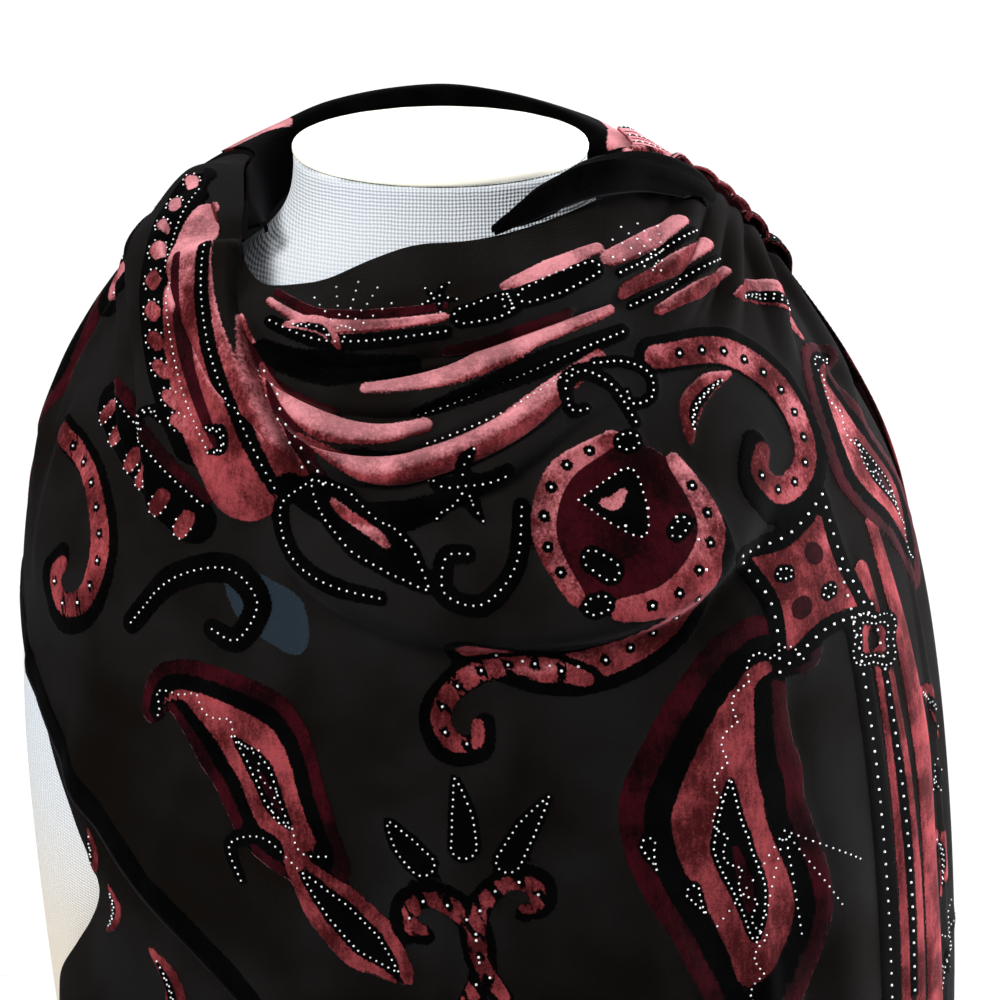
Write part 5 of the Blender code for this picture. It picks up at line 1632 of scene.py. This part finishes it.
def draw_front(front):
    """The front's bands, scallops, motifs and hem."""
    for finish, widths, beads, title, first, last, right, down in FRONT_BANDS:
        draw(front, finish, widths, beads, line_beside(front, title, BAND_POINTS, first, last, right, down))
    for count, half, width, upright, title, first, last, right, down in SCALLOP_ROWS:
        for centre in line_beside(front, title, count, first, last, right, down):
            oval(front, centre, half, width, upright)
    lay_motifs(front, FRONT_MOTIFS)
    for column, row in LOBED_FLOWERS:
        lobed_flower(
            front,
            lambda right, down: front.seen(column + right * FLOWER_ACROSS, row + down * FLOWER_DOWN),
            1.0,
        )
    hem = [(turn, edge_values(FRONT_EDGES, np.array([float(turn)]))[1][0] - 0.08) for turn in range(-98, 92, 6)]
    hem_band(front, hem, HEM_BORDER, 0.0)


def build():
    add_camera()
    set_studio()
    linen = woven_linen()
    lacquer = cream_lacquer()
    glass = silver_glass()
    dark = burnout_velvet("silk_burnout_velvet_black", 0.06, "#8a8290", 0.9, 0.93, 0.72)
    dyed = burnout_velvet("silk_burnout_velvet_dyed", 0.28, "#ea959e", 0.8, 0.93, 0.72)

    form = smooth_copy("form_body", "bust_form", linen, 2, 40.0)
    cap = smooth_copy("form_neck_cap", "neck_cap", lacquer, 1, 80.0)
    form_tree = surface_tree("form_body")
    form_rest = (form_tree, 0.05, 0.0)
    folds = FOLDS + CREASES

    under = drape_stretch(
        "under_fall", UNDER_FINE, lambda across, down: fan_grid(UNDER_EDGES, across, down),
        UNDER_FOLDS, [form_rest], WIDE_GAP, dropped,
    )
    under_tree = BVHTree.FromPolygons((under.folded + under.normals * SOLID_CLOTH).tolist(), under.quads.tolist())
    front = drape_stretch(
        "front_drape", FRONT_FINE, front_grid, folds, [form_rest, (under_tree, 0.012, 0.0010)], REST_GAP,
    )
    back = drape_stretch("back_drape", BACK_FINE, back_grid, folds, [form_rest], REST_GAP)
    back_tree = BVHTree.FromPolygons((back.folded + back.normals * SOLID_CLOTH).tolist(), back.quads.tolist())
    neck = drape_stretch("neck_wrap", NECK_FINE, neck_grid, NECK_FOLDS, [form_rest], WIDE_GAP)
    neck_tree = BVHTree.FromPolygons((neck.folded + neck.normals * SOLID_CLOTH).tolist(), neck.quads.tolist())
    toss = drape_stretch(
        "shoulder_toss", TOSS_FINE, lambda across, down: fan_grid(TOSS_EDGES, across, down),
        folds, [(back_tree, 0.03, 0.0), (neck_tree, 0.012, 0.0)], TOSS_RAISE * MILLIMETRE, gathered,
    )
    around, along = unit_grid((ROLL_FINE[1], ROLL_FINE[0]))
    rolled = roll_points(along, around)
    skin = front.folded + front.normals * SOLID_CLOTH
    front_tree = BVHTree.FromPolygons(skin.tolist(), front.quads.tolist())
    rolled = clear_of(rolled, [(front_tree, 0.012, 0.0)], WIDE_GAP)
    rolled = rumpled(rolled, around, along)
    roll = Stretch("shoulder_roll", (ROLL_FINE[1], ROLL_FINE[0]), around, along, rolled, rolled)
    roll.flat_of = lambda first, second: roll_points(np.clip(second, 0.0, 1.0), np.clip(first, 0.0, 1.0))
    roll.steps = (0.01, 0.01)
    stretches = {"front": front, "back": back, "neck": neck, "toss": toss, "roll": roll, "under": under}

    roll.velvet[:] = FAR_MM
    neck.velvet[:] = FAR_MM
    toss.velvet[:] = FAR_MM
    toss.rose[:] = FAR_MM
    draw_front(front)
    for title, name, turn, level, size, degrees, mirrored in HIDDEN_MOTIFS:
        motif(stretches[title], name, turn, level, size, degrees, mirrored)
    dress_toss(toss)
    dress_neck(neck)
    lay_motifs(under, UNDER_MOTIFS)
    hem = [(turn, edge_values(BACK_EDGES, np.array([float(turn)]))[1][0] - 0.08) for turn in range(94, 260, 6)]
    hem_band(back, hem, HEM_BORDER, 12.0)

    nodes = {
        "front": "scarf_front", "back": "scarf_back", "neck": "scarf_neck_wrap",
        "toss": "scarf_right_toss", "roll": "scarf_shoulder_roll", "under": "scarf_under_fall",
    }
    beads = {}
    for title, stretch in stretches.items():
        sheet = add_sheet(stretch, [dark, dyed])
        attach(sheet, "root")
        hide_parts(nodes[title])
        beads[title] = []
        dots = add_beads(stretch, stretch.name + "_beads", glass)
        if dots is not None:
            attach(dots, "root")
            beads[title].append(dots)
    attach(form, "root")
    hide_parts("form_body")
    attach(cap, "root")
    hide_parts("form_neck_cap")


def dress_toss(toss):
    """Stripes and beaded leaves down the tossed end."""
    columns, rows = toss.cells
    grid = np.arange(len(toss.first)).reshape(columns + 1, rows + 1)
    for share, width, finish, beads in TOSS_STRIPES:
        column = int(round(share * columns))
        picked = grid[column, 2:-2:10]
        pairs = [(toss.first[spot], toss.second[spot]) for spot in picked]
        draw(toss, finish, (width * 0.22, width * 0.5, width, width, width), beads, pairs)
    for share, down, size in TOSS_LEAVES:
        spot = grid[int(round(share * columns)), int(round(down * rows))]
        comma(toss, (toss.first[spot], toss.second[spot]), size)


TOSS_STRIPES = (
    (0.03, 3.4, "K", "c"), (0.12, 2.6, "W", ""), (0.24, 3.6, "K", "c"), (0.36, 2.4, "W", ""),
    (0.48, 4.4, "K", "c"), (0.60, 2.6, "W", ""), (0.72, 4.2, "K", "c"), (0.84, 3.0, "W", ""),
    (0.97, 4.6, "K", "c"),
)
TOSS_LEAVES = (
    (0.10, 0.40, 1.0), (0.10, 0.58, 1.1), (0.12, 0.76, 1.2), (0.33, 0.50, 1.0), (0.34, 0.68, 1.2),
    (0.34, 0.86, 1.2), (0.60, 0.44, 1.0), (0.60, 0.62, 1.2), (0.60, 0.80, 1.2), (0.85, 0.52, 1.0),
    (0.85, 0.70, 1.2), (0.85, 0.88, 1.2),
)


def dress_neck(neck):
    """Rose patches on the black band behind the neck."""
    for turn, level, width in ((118, 1.30, 7.0), (128, 1.50, 5.0), (236, 1.35, 6.0), (246, 1.50, 5.0),
                               (286, 1.50, 4.0), (296, 1.70, 4.0)):
        pairs = [(turn - 4, level), (turn + 4, level + 0.1)]
        draw(neck, "R", (width, width * 0.7), "", pairs)


build()
